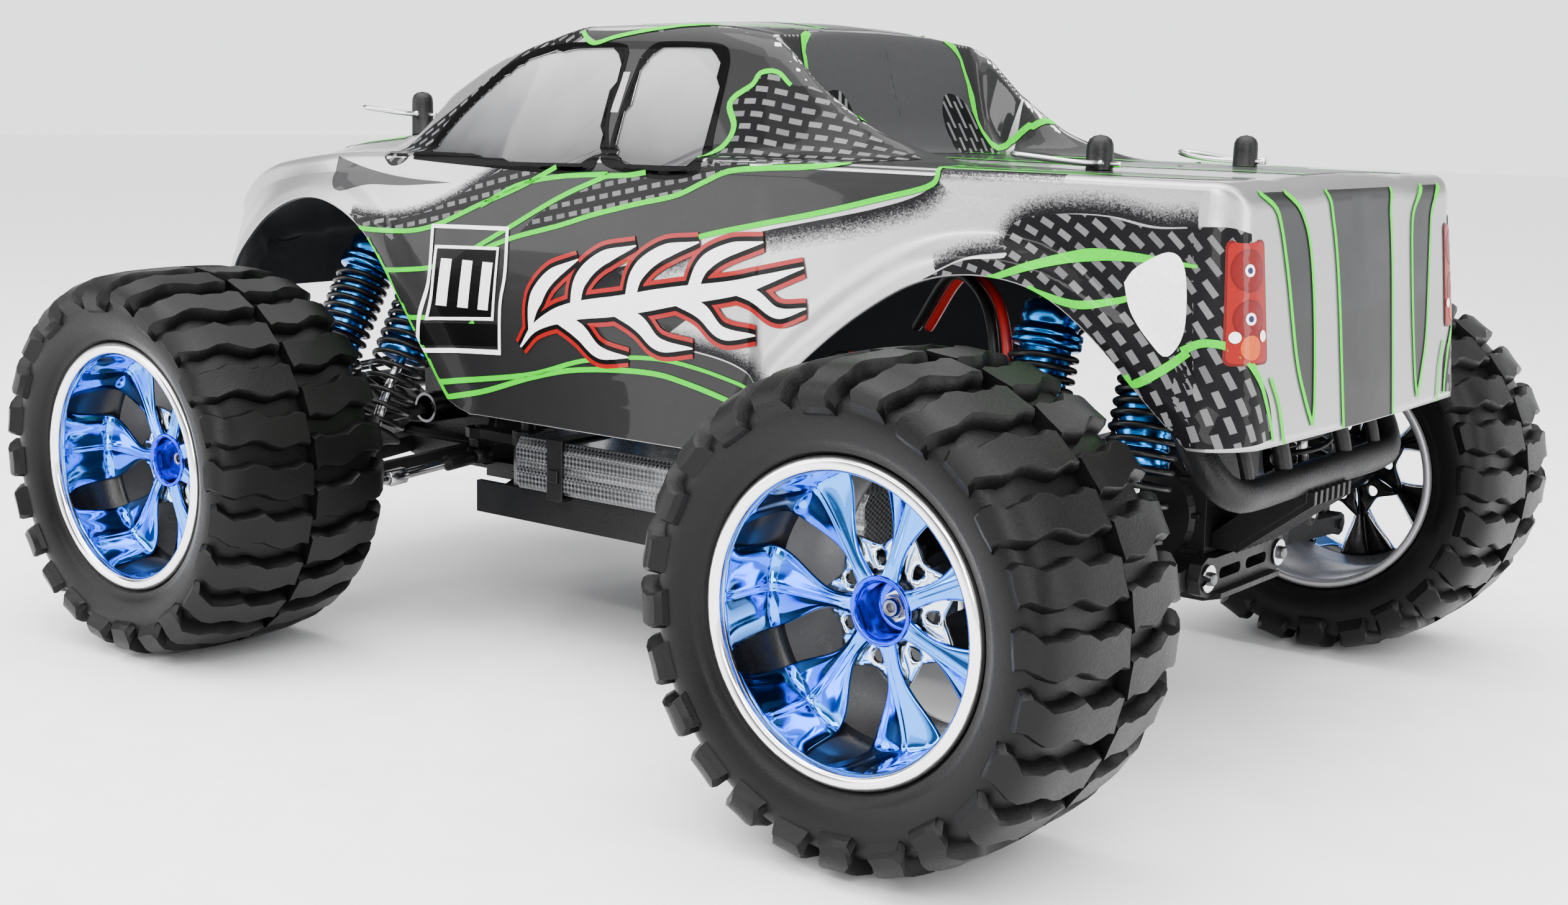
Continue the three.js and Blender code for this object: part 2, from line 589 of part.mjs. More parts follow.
// Half of the body's section at x, from the lower edge up to the middle, offset inwards by t.
function bodySection(x, t) {
  const at = (name) => along(BODY[name], x);
  const [deck, middle] = [at("deck"), at("middle")];
  const edge = t ? Math.min(at("edge"), middle) : at("edge"); // the sails behind the cab are solid
  const [bottom, top, base, roof] = [at("bottomHalf"), at("topHalf"), at("baseHalf"), at("roofHalf")];
  const rise = edge - deck;
  const low = BODY_LOW - (t ? 5 : 0);
  return [
    [bottom - 2 - t, low],
    [bottom - t, Math.min(118, deck - 14)],
    [top - t, deck - 8 - t * 0.3],
    [top - 2.4 - t * 0.8, deck - 2.4 - t * 0.8],
    [top - 7 - t * 0.5, deck - t],
    [base - t * 0.6, deck + 0.1 - t],
    [roof - t, deck + rise * 0.88 - t * 0.6],
    [roof - 4 - t * 0.5, edge - t],
    [roof - 9, Math.min(edge, middle) - t],
    [0, middle + 0.8 - t],
  ];
}

const BODY_STATIONS = [-197, -194, -185, -145, -110, -80, -60, -50, -38, -10, 30, 49, 94, 112, 119, 145,
  175, 190, 200, 204, 206];

function bodyLoft(t) {
  const stations = BODY_STATIONS.map((x, i) => {
    const last = BODY_STATIONS.length - 1;
    if (i === 0) return [x, x + t];
    if (i === last) return [x, x - t];
    return [x, THREE.MathUtils.clamp(x, BODY_STATIONS[0] + t * 1.3, BODY_STATIONS[last] - t * 1.3)];
  });
  const rings = stations.map(([x, placedX]) => {
    const half = bodySection(x, t);
    const left = half.map(([y, z]) => [placedX, y, z]);
    const right = half.slice(0, -1).reverse().map(([y, z]) => [placedX, -y, z]);
    return [...left, ...right];
  });
  const n = rings[0].length;
  const positions = rings.flat(2);
  const index = [];
  for (let i = 0; i + 1 < rings.length; i++)
    for (let j = 0; j < n; j++) {
      const [a, b] = [i * n + j, i * n + ((j + 1) % n)];
      index.push(a, b, b + n, a, b + n, a + n);
    }
  const cap = (start, flip) => {
    for (let j = 1; j + 1 < n; j++) {
      const [a, b, c] = [start, start + j, start + j + 1];
      index.push(...(flip ? [a, c, b] : [a, b, c]));
    }
  };
  cap(0, true);
  cap((rings.length - 1) * n, false);
  const geometry = new THREE.BufferGeometry();
  geometry.setAttribute("position", new THREE.Float32BufferAttribute(positions, 3));
  geometry.setIndex(index);
  return solid(geometry);
}

// The body's lower edge from tail to nose, with both wheel arches.
const LOWER_EDGE = {
  rearArch: [[-185, 96], [-177, 105], [-163, 121], [-148, 131], [-130, 134], [-112, 131], [-94, 121],
    [-76, 107], [-62, 94], [-52, 82]],
  frontArch: [[68, 80], [78, 96], [90, 115], [104, 130], [122, 139], [140, 141], [158, 135],
    [174, 123], [186, 111]],
};

function bodyShell() {
  const spline = (points, steps) =>
    new THREE.SplineCurve(outlineOf(points)).getPoints(steps).map((p) => [p.x, p.y]);
  const edge = [
    [-215, 96], ...spline(LOWER_EDGE.rearArch, 9), [-46, 76], [62, 76],
    ...spline(LOWER_EDGE.frontArch, 9), [197, 104], [215, 104], [215, 40], [-215, 40],
  ];
  const below = prism(edge, "y", [-110, 110]);
  const postHoles = Object.entries(POST).flatMap(([end, [u, v]]) => {
    const x = end === "front" ? FRONT_X + u : REAR_X - u;
    return [-1, 1].map((s) => rod([x, s * v, 150], [x, s * v, 172], 3.9));
  });
  return cut(bodyLoft(0), bodyLoft(BODY_THICKNESS), below, postHoles);
}

// R-clip: one leg through the post, a loop, and a second leg that grips the post.
function bodyClip(end) {
  const [u, v, top] = POST[end];
  const z = top - CLIP_DROP;
  const path = [[-6, 0, 0], [4, 0, 0], [14, 0.2, 0.4], [21, 2, 1.4], [23.5, 5, 2], [20, 7, 1.8],
    [12, 6, 1], [7, 4.6, 0.4], [2, 4.4, 0.2], [-3, 4.8, 0.2]];
  const sign = end === "front" ? 1 : -1;
  const placed = path.map(([a, b, c]) => [u + sign * a, v + b, z + c]);
  return tube(placed, CLIP_WIRE_R, { sides: 4, steps: 14 });
}

// ---------------------------------------------------------------- assembly

const truck = new THREE.Group();

const CORNERS = [
  { tag: "fl", end: "front", x: FRONT_X, facing: 1, side: 1 },
  { tag: "fr", end: "front", x: FRONT_X, facing: 1, side: -1 },
  { tag: "rl", end: "rear", x: REAR_X, facing: -1, side: 1 },
  { tag: "rr", end: "rear", x: REAR_X, facing: -1, side: -1 },
];

for (const { tag, end, x, facing, side } of CORNERS) {
  const corner = new THREE.Group();
  corner.position.x = x;
  corner.scale.set(facing, side, 1);
  const cupV = SHAFT_IN_V[end] + REACH[0];
  const add = (name, shape, material) => corner.add(meshOf(`${name}_${tag}`, shape, material));
  add("tyre", tyre(), MATERIALS.tyre);
  add("rim", rim(), MATERIALS.rim);
  add("axle", axle(cupV), MATERIALS.steel);
  add("lower_arm", lowerArm(end), MATERIALS.plastic);
  add("upper_link", upperLink(), MATERIALS.steel);
  add("driveshaft", driveshaft(end), MATERIALS.steel);
  add("carrier", end === "front" ? casterBlock() : rearCarrier(), MATERIALS.plastic);
  add("shock_bodies", shockBodies(end), MATERIALS.blue);
  add("shock_rods", shockRods(end), MATERIALS.steel);
  add("body_clip", bodyClip(end), MATERIALS.steel);
  if (end === "front") {
    add("knuckle", knuckle(), MATERIALS.plastic);
    add("tie_rod", tieRod(), MATERIALS.steel);
    add("bellcrank", bellcrank(), MATERIALS.plastic);
  }
  truck.add(corner);
}

for (const [end, x, facing] of [["front", FRONT_X, 1], ["rear", REAR_X, -1]]) {
  const axleGroup = new THREE.Group();
  axleGroup.position.x = x;
  axleGroup.scale.x = facing;
  axleGroup.add(meshOf(`${end}_gearbox`, gearbox(end), MATERIALS.plastic));
  axleGroup.add(meshOf(`${end}_shock_tower`, shockTower(end), MATERIALS.plastic));
  const bumper = end === "front" ? frontBumper() : rearBumper();
  axleGroup.add(meshOf(`${end}_bumper`, bumper, MATERIALS.plastic));
  if (end === "front") axleGroup.add(meshOf("drag_link", dragLink(), MATERIALS.steel));
  truck.add(axleGroup);
}

truck.add(
  meshOf("chassis_tray", chassisTray(), MATERIALS.plastic),
  meshOf("centre_driveshaft", centreDriveshaft(), MATERIALS.steel),
  meshOf("motor", motor(), MATERIALS.steel),
  meshOf("battery_pack", batteryPack(), MATERIALS.battery),
  meshOf("speed_controller", speedController(), MATERIALS.electronics),
  meshOf("steering_servo", steeringServo(), MATERIALS.electronics),
  meshOf("body_shell", bodyShell(), MATERIALS.body),
);

export default truck;
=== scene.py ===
"""RC monster truck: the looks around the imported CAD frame.

Lengths in this script are millimetres, and they become metres where a mesh is made.
X points to the nose, Y to the truck's left side, Z up, and the ground is Z = 0.
"""
import math

import bmesh
import bpy
import numpy as np
from mathutils import Matrix, Vector, geometry
from mathutils.bvhtree import BVHTree


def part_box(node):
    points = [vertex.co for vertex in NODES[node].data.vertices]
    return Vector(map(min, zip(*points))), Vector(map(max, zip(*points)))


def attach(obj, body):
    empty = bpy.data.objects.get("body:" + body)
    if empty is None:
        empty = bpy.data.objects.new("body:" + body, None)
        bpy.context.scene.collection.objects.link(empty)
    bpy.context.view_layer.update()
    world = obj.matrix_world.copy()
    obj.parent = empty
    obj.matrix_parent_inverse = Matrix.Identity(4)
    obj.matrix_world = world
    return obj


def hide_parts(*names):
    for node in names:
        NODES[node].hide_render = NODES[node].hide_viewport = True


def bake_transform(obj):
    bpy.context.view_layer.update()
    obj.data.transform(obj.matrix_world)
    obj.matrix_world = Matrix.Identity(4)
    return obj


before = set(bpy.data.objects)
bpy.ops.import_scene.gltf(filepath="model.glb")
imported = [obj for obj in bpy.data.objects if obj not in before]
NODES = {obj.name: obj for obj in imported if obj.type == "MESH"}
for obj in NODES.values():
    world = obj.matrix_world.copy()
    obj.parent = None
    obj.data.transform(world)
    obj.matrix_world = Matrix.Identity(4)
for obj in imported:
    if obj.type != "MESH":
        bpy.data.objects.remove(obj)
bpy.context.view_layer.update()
MM = 0.001


def centre_of(node):
    low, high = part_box(node)
    return (low + high) / 2 / MM


FRONT_X, TRACK, AXLE_Z = centre_of("tyre_fl")
REAR_X = centre_of("tyre_rl").x
CORNERS = {"fl": (FRONT_X, 1), "fr": (FRONT_X, -1), "rl": (REAR_X, 1), "rr": (REAR_X, -1)}

# ---------------------------------------------------------------- camera, floor and light

CAMERA_AT = (-402.4, 512.8, 176.6)
CAMERA_YAW, CAMERA_PITCH, CAMERA_ROLL = -52.31, -9.98, 1.39
LENS = 45.81


def add_camera():
    """The camera, at the photograph's angle."""
    data = bpy.data.cameras.new("photo_camera")
    data.lens = LENS
    data.sensor_width = 36
    data.clip_start = 0.01
    camera = bpy.data.objects.new("photo_camera", data)
    bpy.context.scene.collection.objects.link(camera)
    yaw, pitch, roll = (math.radians(a) for a in (CAMERA_YAW, CAMERA_PITCH, CAMERA_ROLL))
    forward = Vector((math.cos(pitch) * math.cos(yaw), math.cos(pitch) * math.sin(yaw), math.sin(pitch)))
    level = Vector((math.sin(yaw), -math.cos(yaw), 0))
    above = level.cross(forward)
    right = level * math.cos(roll) + above * math.sin(roll)
    up = above * math.cos(roll) - level * math.sin(roll)
    turn = Matrix((right, up, -forward)).transposed().to_4x4()
    camera.matrix_world = Matrix.Translation(Vector(CAMERA_AT) * MM) @ turn
    bpy.context.scene.camera = camera


def add_area_light(name, at, aim, size, power):
    data = bpy.data.lights.new(name, "AREA")
    data.shape = "RECTANGLE"
    data.size, data.size_y = size
    data.energy = power
    light = bpy.data.objects.new(name, data)
    bpy.context.scene.collection.objects.link(light)
    light.location = at
    light.rotation_euler = (Vector(aim) - Vector(at)).to_track_quat("-Z", "Y").to_euler()


def add_studio():
    """Bright near the horizon, dimmer overhead, with large soft lights above and beside the truck."""
    world = bpy.data.worlds.new("studio")
    world.use_nodes = True
    tree = world.node_tree
    background = tree.nodes["Background"]
    height = tree.nodes.new("ShaderNodeSeparateXYZ")
    fall = tree.nodes.new("ShaderNodeMapRange")
    tree.links.new(tree.nodes.new("ShaderNodeTexCoord").outputs["Generated"], height.inputs[0])
    tree.links.new(height.outputs["Z"], fall.inputs["Value"])
    tree.links.new(fall.outputs["Result"], background.inputs["Strength"])
    for key, value in {"From Min": 0.1, "From Max": 0.3, "To Min": 2.3, "To Max": 0.3}.items():
        fall.inputs[key].default_value = value
    background.inputs["Color"].default_value = (0.97, 0.98, 1, 1)
    bpy.context.scene.world = world
    middle = (0, 0, 0.1)
    sky = bpy.data.lights.new("soft_top", "SUN")
    sky.energy = 6.0
    sky.angle = math.radians(100)
    bpy.context.scene.collection.objects.link(bpy.data.objects.new("soft_top", sky))
    add_area_light("overhead", (-0.1, 0.25, 1.3), middle, (1.6, 0.9), 30)
    add_area_light("left_panel", (-0.9, 1.0, 0.7), middle, (0.5, 0.9), 16)
    add_area_light("side_strip", (0.1, 1.0, 0.75), middle, (1.4, 0.08), 8)
    add_area_light("rear_strip", (-1.1, -0.2, 0.5), middle, (0.25, 1.1), 7)
    add_area_light("front_fill", (0.9, 0.9, 0.5), middle, (0.6, 0.8), 8)
    bpy.ops.mesh.primitive_plane_add(size=12, location=(0, 0, 0))
    floor = bpy.context.object
    floor.name = "studio_floor"
    floor.data.materials.append(painted("floor_paper", (0.9, 0.9, 0.905), 0.6, bump=0.02, grain=300,
                                        vary=0.02))


# ---------------------------------------------------------------- materials


class Nodes:
    """A short way to write a material's nodes."""

    def __init__(self, name):
        self.material = bpy.data.materials.new(name)
        self.material.use_nodes = True
        self.tree = self.material.node_tree
        self.shader = self.tree.nodes["Principled BSDF"]

    def add(self, kind, inputs=(), **settings):
        node = self.tree.nodes.new("ShaderNode" + kind)
        for key, value in settings.items():
            setattr(node, key, value)
        for key, value in dict(inputs).items():
            if isinstance(value, bpy.types.NodeSocket):
                self.tree.links.new(value, node.inputs[key])
            else:
                node.inputs[key].default_value = value
        return node

    def set(self, **values):
        for key, value in values.items():
            socket = self.shader.inputs[key.replace("_", " ")]
            if isinstance(value, bpy.types.NodeSocket):
                self.tree.links.new(value, socket)
            else:
                socket.default_value = value

    def place(self, kind="Object"):
        return self.add("TexCoord").outputs[kind]

    def noise(self, scale, detail=4, place=None):
        inputs = {"Vector": place or self.place(), "Scale": scale, "Detail": detail}
        return self.add("TexNoise", inputs).outputs["Fac"]

    def span(self, value, low, high, start=0.3, end=0.7):
        inputs = {"Value": value, "From Min": start, "From Max": end, "To Min": low, "To Max": high}
        return self.add("MapRange", inputs).outputs["Result"]

    def blend(self, factor, a, b):
        node = self.add("Mix", data_type="RGBA")
        for socket, value in zip((node.inputs["Factor"], node.inputs[6], node.inputs[7]), (factor, a, b)):
            if isinstance(value, bpy.types.NodeSocket):
                self.tree.links.new(value, socket)
            else:
                socket.default_value = value
        return node.outputs[2]

    def maths(self, operation, a, b=0.0):
        node = self.add("Math", operation=operation)
        for socket, value in zip(node.inputs, (a, b)):
            if isinstance(value, bpy.types.NodeSocket):
                self.tree.links.new(value, socket)
            else:
                socket.default_value = value
        return node.outputs[0]

    def bump(self, height, strength, depth=0.0004):
        inputs = {"Height": height, "Strength": strength, "Distance": depth}
        self.set(Normal=self.add("Bump", inputs).outputs["Normal"])


def rgba(colour, scale=1.0):
    return (*(min(1, c * scale) for c in colour), 1)


def painted(name, colour, roughness, metallic=0.0, coat=0.0, bump=0.1, grain=900, vary=0.12, cloud=45,
            specular=0.5):
    """A moulded, painted or plated surface: cloudy colour, uneven gloss and a fine grain."""
    n = Nodes(name)
    clouds = n.noise(cloud, 5)
    fine = n.noise(grain, 3)
    tone = n.blend(n.span(clouds, 0, 1), rgba(colour, 1 - vary), rgba(colour, 1 + vary))
    n.set(Base_Color=tone, Metallic=metallic)
    n.set(Roughness=n.span(n.maths("ADD", clouds, fine), roughness * 0.8, roughness * 1.25, 0.7, 1.3))
    n.set(Coat_Weight=coat, Coat_Roughness=0.04, Specular_IOR_Level=specular)
    if bump:
        n.bump(fine, bump)
    return n.material


def pearl_paint():
    """Silver paint under clear polycarbonate: fine flake, soft clouds, glossy face."""
    n = Nodes("silver_pearl")
    flake = n.add("TexVoronoi", {"Vector": n.place(), "Scale": 2600}).outputs["Color"]
    grey = n.add("SeparateColor", {"Color": flake}).outputs["Red"]
    tone = n.blend(n.span(grey, 0, 1, 0, 1), (0.38, 0.375, 0.38, 1), (0.44, 0.435, 0.44, 1))
    tone = n.blend(n.span(n.noise(14, 3), 0, 0.35), tone, (0.34, 0.338, 0.342, 1))
    n.set(Base_Color=tone, Metallic=0.8, Roughness=n.span(grey, 0.3, 0.34, 0, 1))
    n.set(Coat_Weight=0.6, Coat_Roughness=0.03)
    return n.material


def gloss_paint(name, colour, vary=0.1, gloss=1.0):
    """Flat ink under clear polycarbonate."""
    n = Nodes(name)
    speck = n.span(n.noise(1500, 2), 0, 1)
    tone = n.blend(speck, rgba(colour, 1 - vary), rgba(colour, 1 + vary))
    n.set(Base_Color=tone, Roughness=n.span(n.noise(60), 0.34, 0.46), Specular_IOR_Level=0.1 * gloss)
    n.set(Coat_Weight=0.3 * gloss, Coat_Roughness=0.03)
    return n.material


def dash_print():
    """Black ink with staggered hatched grey dashes, laid out in the decal's own millimetres."""
    n = Nodes("dash_print")
    place = n.place("UV")
    brick = n.add("TexBrick", {"Vector": place, "Scale": 1.0, "Mortar Size": 1.2, "Mortar Smooth": 0.1,
                               "Brick Width": 6.3, "Row Height": 4.0, "Color1": (0.1, 0.1, 0.103, 1),
                               "Color2": (0.16, 0.16, 0.163, 1), "Mortar": (0.001, 0.001, 0.0012, 1)})
    hatch = n.add("TexWave", {"Vector": place, "Scale": 1.35, "Distortion": 1.5}, wave_type="BANDS",
                  bands_direction="DIAGONAL").outputs["Fac"]
    dark = n.blend(n.span(hatch, 0.0, 0.5), brick.outputs["Color"], (0.012, 0.012, 0.013, 1))
    n.set(Base_Color=dark, Roughness=n.span(n.noise(60), 0.34, 0.46), Specular_IOR_Level=0.05)
    n.set(Coat_Weight=0.12, Coat_Roughness=0.03)
    return n.material


def airbrush(name, colour=(0.006, 0.006, 0.007)):
    """A sprayed edge: solid at V = 0 and gone at V = 1, broken into fine droplets."""
    n = Nodes(name)
    across = n.add("SeparateXYZ", {"Vector": n.place("UV")}).outputs["Y"]
    drops = n.span(n.noise(2600, 1), -0.3, 0.3)
    solid = n.span(n.maths("ADD", across, drops), 1, 0, 0.1, 0.95)
    n.set(Base_Color=rgba(colour), Roughness=n.span(n.noise(60), 0.34, 0.46), Alpha=solid)
    n.set(Specular_IOR_Level=0.05, Coat_Weight=0.12, Coat_Roughness=0.03)
    return n.material


def clear_pane():
    """Smoked plastic, darker towards the sill as painted shade of the dark cab inside, and lighter towards
    the top as painted light from the bright room seen through the far windows.
    """
    n = Nodes("smoked_window_painted_shade_and_light")
    haze = n.noise(30, 3)
    height = n.add("SeparateXYZ", {"Vector": n.place("Generated")}).outputs["Z"]
    shade = n.span(n.maths("ADD", height, n.span(haze, -0.08, 0.08)), 0, 1, 0.05, 0.9)
    # Painted shade and light: the colour runs from the cab's dark inside at the sill to the bright room
    # seen through the glass at the top.
    n.set(Base_Color=n.blend(shade, (0.035, 0.035, 0.037, 1), (0.34, 0.342, 0.35, 1)))
    n.set(Roughness=n.span(haze, 0.05, 0.09), Alpha=0.88, Specular_IOR_Level=0.3)
    n.set(Coat_Weight=0.3, Coat_Roughness=0.02)
    return n.material


# ---------------------------------------------------------------- mesh making


class Shape:
    """Collects faces in millimetres, each with a material slot, and turns them into one object."""

    def __init__(self):
        self.points, self.faces, self.slots, self.uvs = [], [], [], []

    def add(self, points, faces, slot=0, matrix=None, uvs=None):
        start = len(self.points)
        if matrix is not None:
            points = [matrix @ Vector(p) for p in points]
            if matrix.determinant() < 0:
                faces = [tuple(reversed(f)) for f in faces]
        self.points += [tuple(p) for p in points]
        self.faces += [tuple(i + start for i in f) for f in faces]
        self.slots += [slot] * len(faces)
        self.uvs += list(uvs) if uvs is not None else [(0, 0)] * len(points)
        return self

    def build(self, name, materials, smooth=True, weld=0.0):
        mesh = bpy.data.meshes.new(name)
        mesh.from_pydata([Vector(p) * MM for p in self.points], [], self.faces)
        for material in materials:
            mesh.materials.append(material)
        mesh.polygons.foreach_set("material_index", self.slots)
        if any(uv != (0, 0) for uv in self.uvs):
            layer = mesh.uv_layers.new(name="layout")
            for loop in mesh.loops:
                layer.data[loop.index].uv = self.uvs[loop.vertex_index]
        if smooth:
            mesh.shade_smooth()
        if weld:
            work = bmesh.new()
            work.from_mesh(mesh)
            bmesh.ops.remove_doubles(work, verts=work.verts, dist=weld * MM)
            work.to_mesh(mesh)
            work.free()
        mesh.validate()
        thing = bpy.data.objects.new(name, mesh)
        bpy.context.scene.collection.objects.link(thing)
        return thing


def finish_piece(thing, body, replaced=()):
    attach(thing, body)
    if replaced:
        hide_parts(*replaced)
    return thing


def crisp(thing, width=0.35, angle=35, segments=2):
    """Rounds a hard-edged piece's corners, as moulding and machining do."""
    bevel = thing.modifiers.new("rounded_edges", "BEVEL")
    bevel.width = width * MM
    bevel.segments = segments
    bevel.limit_method = "ANGLE"
    bevel.angle_limit = math.radians(angle)
    bevel.harden_normals = True
    return thing


def spline(points, step=1.5, closed=False):
    """A Catmull-Rom curve through the points, sampled about every step."""
    p = [np.array(q, float) for q in points]
    if len(p) == 2 and not closed:
        count = max(1, round(float(np.linalg.norm(p[1] - p[0])) / step))
        return [tuple(p[0] + (p[1] - p[0]) * i / count) for i in range(count + 1)]
    n = len(p)
    spans = n if closed else n - 1
    out = []
    for i in range(spans):
        b, c = p[i], p[(i + 1) % n]
        a = p[i - 1] if i or closed else 2 * b - c
        d = p[(i + 2) % n] if i + 2 < n or closed else 2 * c - b
        count = max(1, round(float(np.linalg.norm(c - b)) / step))
        for k in range(count):
            t = k / count
            out.append(tuple(0.5 * (2 * b + (c - a) * t + (2 * a - 5 * b + 4 * c - d) * t ** 2
                                    + (3 * b - a - 3 * c + d) * t ** 3)))
    if not closed:
        out.append(tuple(p[-1]))
    return out


def strokes(*runs, step=1.5):
    """One outline from several curves, with a corner wherever two of them meet."""
    out = []
    for run in runs:
        curve = spline(run, step)
        out += curve[1:] if out and np.allclose(out[-1], curve[0]) else curve
    return out


def lathe(profile, segments=64, closed=False, sweep=(0, math.tau)):
    """Turns (radius, height) pairs around Z."""
    full = abs(sweep[1] - sweep[0] - math.tau) < 1e-6
    rings = segments if full else segments + 1
    points, faces = [], []
    for i in range(rings):
        a = sweep[0] + (sweep[1] - sweep[0]) * i / segments
        points += [(r * math.cos(a), r * math.sin(a), h) for r, h in profile]
    n = len(profile)
    for i in range(segments):
        j = (i + 1) % rings
        for k in range(n if closed else n - 1):
            m = (k + 1) % n
            faces.append((i * n + k, j * n + k, j * n + m, i * n + m))
    return points, faces


def tube(path, radius, sides=12, closed=False, section=None):
    """Sweeps a round or given section along a path, with flat ends."""
    p = [Vector(q) for q in path]
    n = len(p)
    radii = radius if isinstance(radius, (list, tuple)) else [radius] * n
    ring = section or [(math.cos(math.tau * k / sides), math.sin(math.tau * k / sides))
                       for k in range(sides)]
    sides = len(ring)
    points, faces = [], []
    side = None
    for i, at in enumerate(p):
        before, after = p[i - 1 if i or closed else 0], p[(i + 1) % n if i + 1 < n or closed else n - 1]
        along = (after - before).normalized()
        if side is None:
            side = along.cross(Vector((0, 0, 1)) if abs(along.z) < 0.9 else Vector((1, 0, 0))).normalized()
        side = (side - along * side.dot(along)).normalized()
        up = side.cross(along)
        points += [at + (side * a + up * b) * radii[i] for a, b in ring]
    for i in range(n if closed else n - 1):
        j = (i + 1) % n
        for k in range(sides):
            m = (k + 1) % sides
            faces.append((i * sides + k, j * sides + k, j * sides + m, i * sides + m))
    if not closed:
        faces.append(tuple(range(sides)))
        faces.append(tuple(range((n - 1) * sides, n * sides))[::-1])
    return points, faces


def block(low, high):
    """A box from its two corners."""
    x, y, z = zip(low, high)
    points = [(a, b, c) for a in x for b in y for c in z]
    return points, [(0, 1, 3, 2), (4, 6, 7, 5), (0, 4, 5, 1), (2, 3, 7, 6), (0, 2, 6, 4), (1, 5, 7, 3)]


def aim(start, end):
    """The matrix that stands a lathe's Z axis on start, pointing at end."""
    start, end = Vector(start), Vector(end)
    return Matrix.Translation(start) @ (end - start).to_track_quat("Z", "Y").to_matrix().to_4x4()


def inside(outline, points):
    """Which of the points lie inside the closed 2-D outline."""
    p = np.asarray(points, float)
    loop = np.asarray(outline, float)
    result = np.zeros(len(p), bool)
    for (x0, y0), (x1, y1) in zip(loop, np.roll(loop, -1, 0)):
        if y0 == y1:
            continue
        crosses = (y0 > p[:, 1]) != (y1 > p[:, 1])
        result ^= crosses & (p[:, 0] < (x1 - x0) * (p[:, 1] - y0) / (y1 - y0) + x0)
    return result


# ---------------------------------------------------------------- body shell: the surface


class Table:
    """A smooth curve through (x, value) pairs that never overshoots them."""

    def __init__(self, *pairs):
        self.x, self.v = (np.array(c, float) for c in zip(*pairs))
        h = np.diff(self.x)
        d = np.diff(self.v) / h
        self.slope = np.concatenate(([d[0]], np.zeros(len(d) - 1), [d[-1]]))
        for i in range(1, len(d)):
            if d[i - 1] * d[i] > 0:
                before, after = 2 * h[i] + h[i - 1], h[i] + 2 * h[i - 1]
                self.slope[i] = (before + after) / (before / d[i - 1] + after / d[i])

    def __call__(self, x):
        x = min(max(x, self.x[0]), self.x[-1])
        i = min(int(np.searchsorted(self.x, x, "right")) - 1, len(self.x) - 2)
        h = self.x[i + 1] - self.x[i]
        t = (x - self.x[i]) / h
        rise = self.v[i + 1] - self.v[i]
        bend = self.slope[i] * h * (t - 1) ** 2 * t + self.slope[i + 1] * h * t * t * (t - 1)
        return float(self.v[i] + rise * t * t * (3 - 2 * t) + bend)


TAIL_X, NOSE_X = -197, 206
DECK = Table((-197, 160), (-60, 160.5), (60, 158), (112, 157), (160, 152), (190, 141), (200, 133),
             (204, 127), (206, 121))
CROWN = Table((-197, 160.6), (-56, 161.2), (-50, 168), (-38, 197.5), (-10, 200), (30, 199.5), (49, 195.5),
              (94, 179.5), (112, 165.5), (119, 164.6), (160, 159.5), (190, 149), (200, 140), (204, 133),
              (206, 125))
CAB_EDGE = Table((-197, 160.3), (-110, 160.9), (-80, 168), (-60, 180), (-40, 195.5), (-10, 198.5),
                 (30, 198), (49, 194), (94, 178.5), (112, 163.5), (119, 162.5), (160, 157), (190, 146),
                 (200, 138), (204, 131), (206, 124))
BOTTOM_HALF = Table((-197, 76), (-185, 76.5), (-145, 81), (-80, 80.5), (-60, 80), (-52, 78.4), (60, 78),
                    (72, 79), (100, 81.5), (140, 81.5), (175, 76), (195, 66), (203, 58), (206, 48))
TOP_HALF = Table((-197, 74), (-185, 74.5), (-60, 76), (60, 76), (118, 75), (160, 72), (190, 64), (200, 57),
                 (206, 44))
CAB_BASE_HALF = Table((-197, 60), (-185, 64), (-60, 66), (-40, 70), (60, 71), (100, 68), (118, 64),
                      (160, 60), (190, 52), (200, 46), (206, 36))
ROOF_HALF = Table((-197, 50), (-110, 52), (-50, 57), (40, 58), (94, 53), (118, 50), (160, 44), (200, 34),
                  (206, 26))

REAR_ARCH = spline([(-185, 96), (-177, 105), (-163, 121), (-148, 131), (-130, 134), (-112, 131), (-94, 121),
                    (-76, 107), (-62, 94), (-52, 82)], 1.2)
FRONT_ARCH = spline([(68, 80), (78, 96), (90, 115), (104, 130), (122, 139), (140, 141), (158, 135),
                     (174, 123), (186, 111), (197, 104)], 1.2)
SILL = spline([(-52, 82), (-46, 76.5), (-36, 76), (52, 76), (61, 76.5), (68, 80)], 1.5)
LOWER_EDGE = np.array([(-215, 96), *REAR_ARCH, *SILL[1:-1], *FRONT_ARCH, (215, 104)])
ARCHES = np.array(REAR_ARCH + FRONT_ARCH)

SHOULDER_RADIUS = 6
TAIL_RADIUS, TAIL_EDGE_RADIUS, TAIL_LEAN = 12, 8, 5
FLARE, FLARE_WIDTH = 2.4, 12
SIDE_ROWS = 26
BODY_SKIN = 1.1


def smooth(t):
    t = np.clip(t, 0, 1)
    return t * t * (3 - 2 * t)


def quarter_round(depth, radius):
    """How far a quarter-round edge has fallen, that deep into its radius."""
    d = min(max(depth / radius, 0), 1)
    return radius * (1 - math.sqrt(1 - d * d))


def lower_edge(x):
    return float(np.interp(x, LOWER_EDGE[:, 0], LOWER_EDGE[:, 1]))


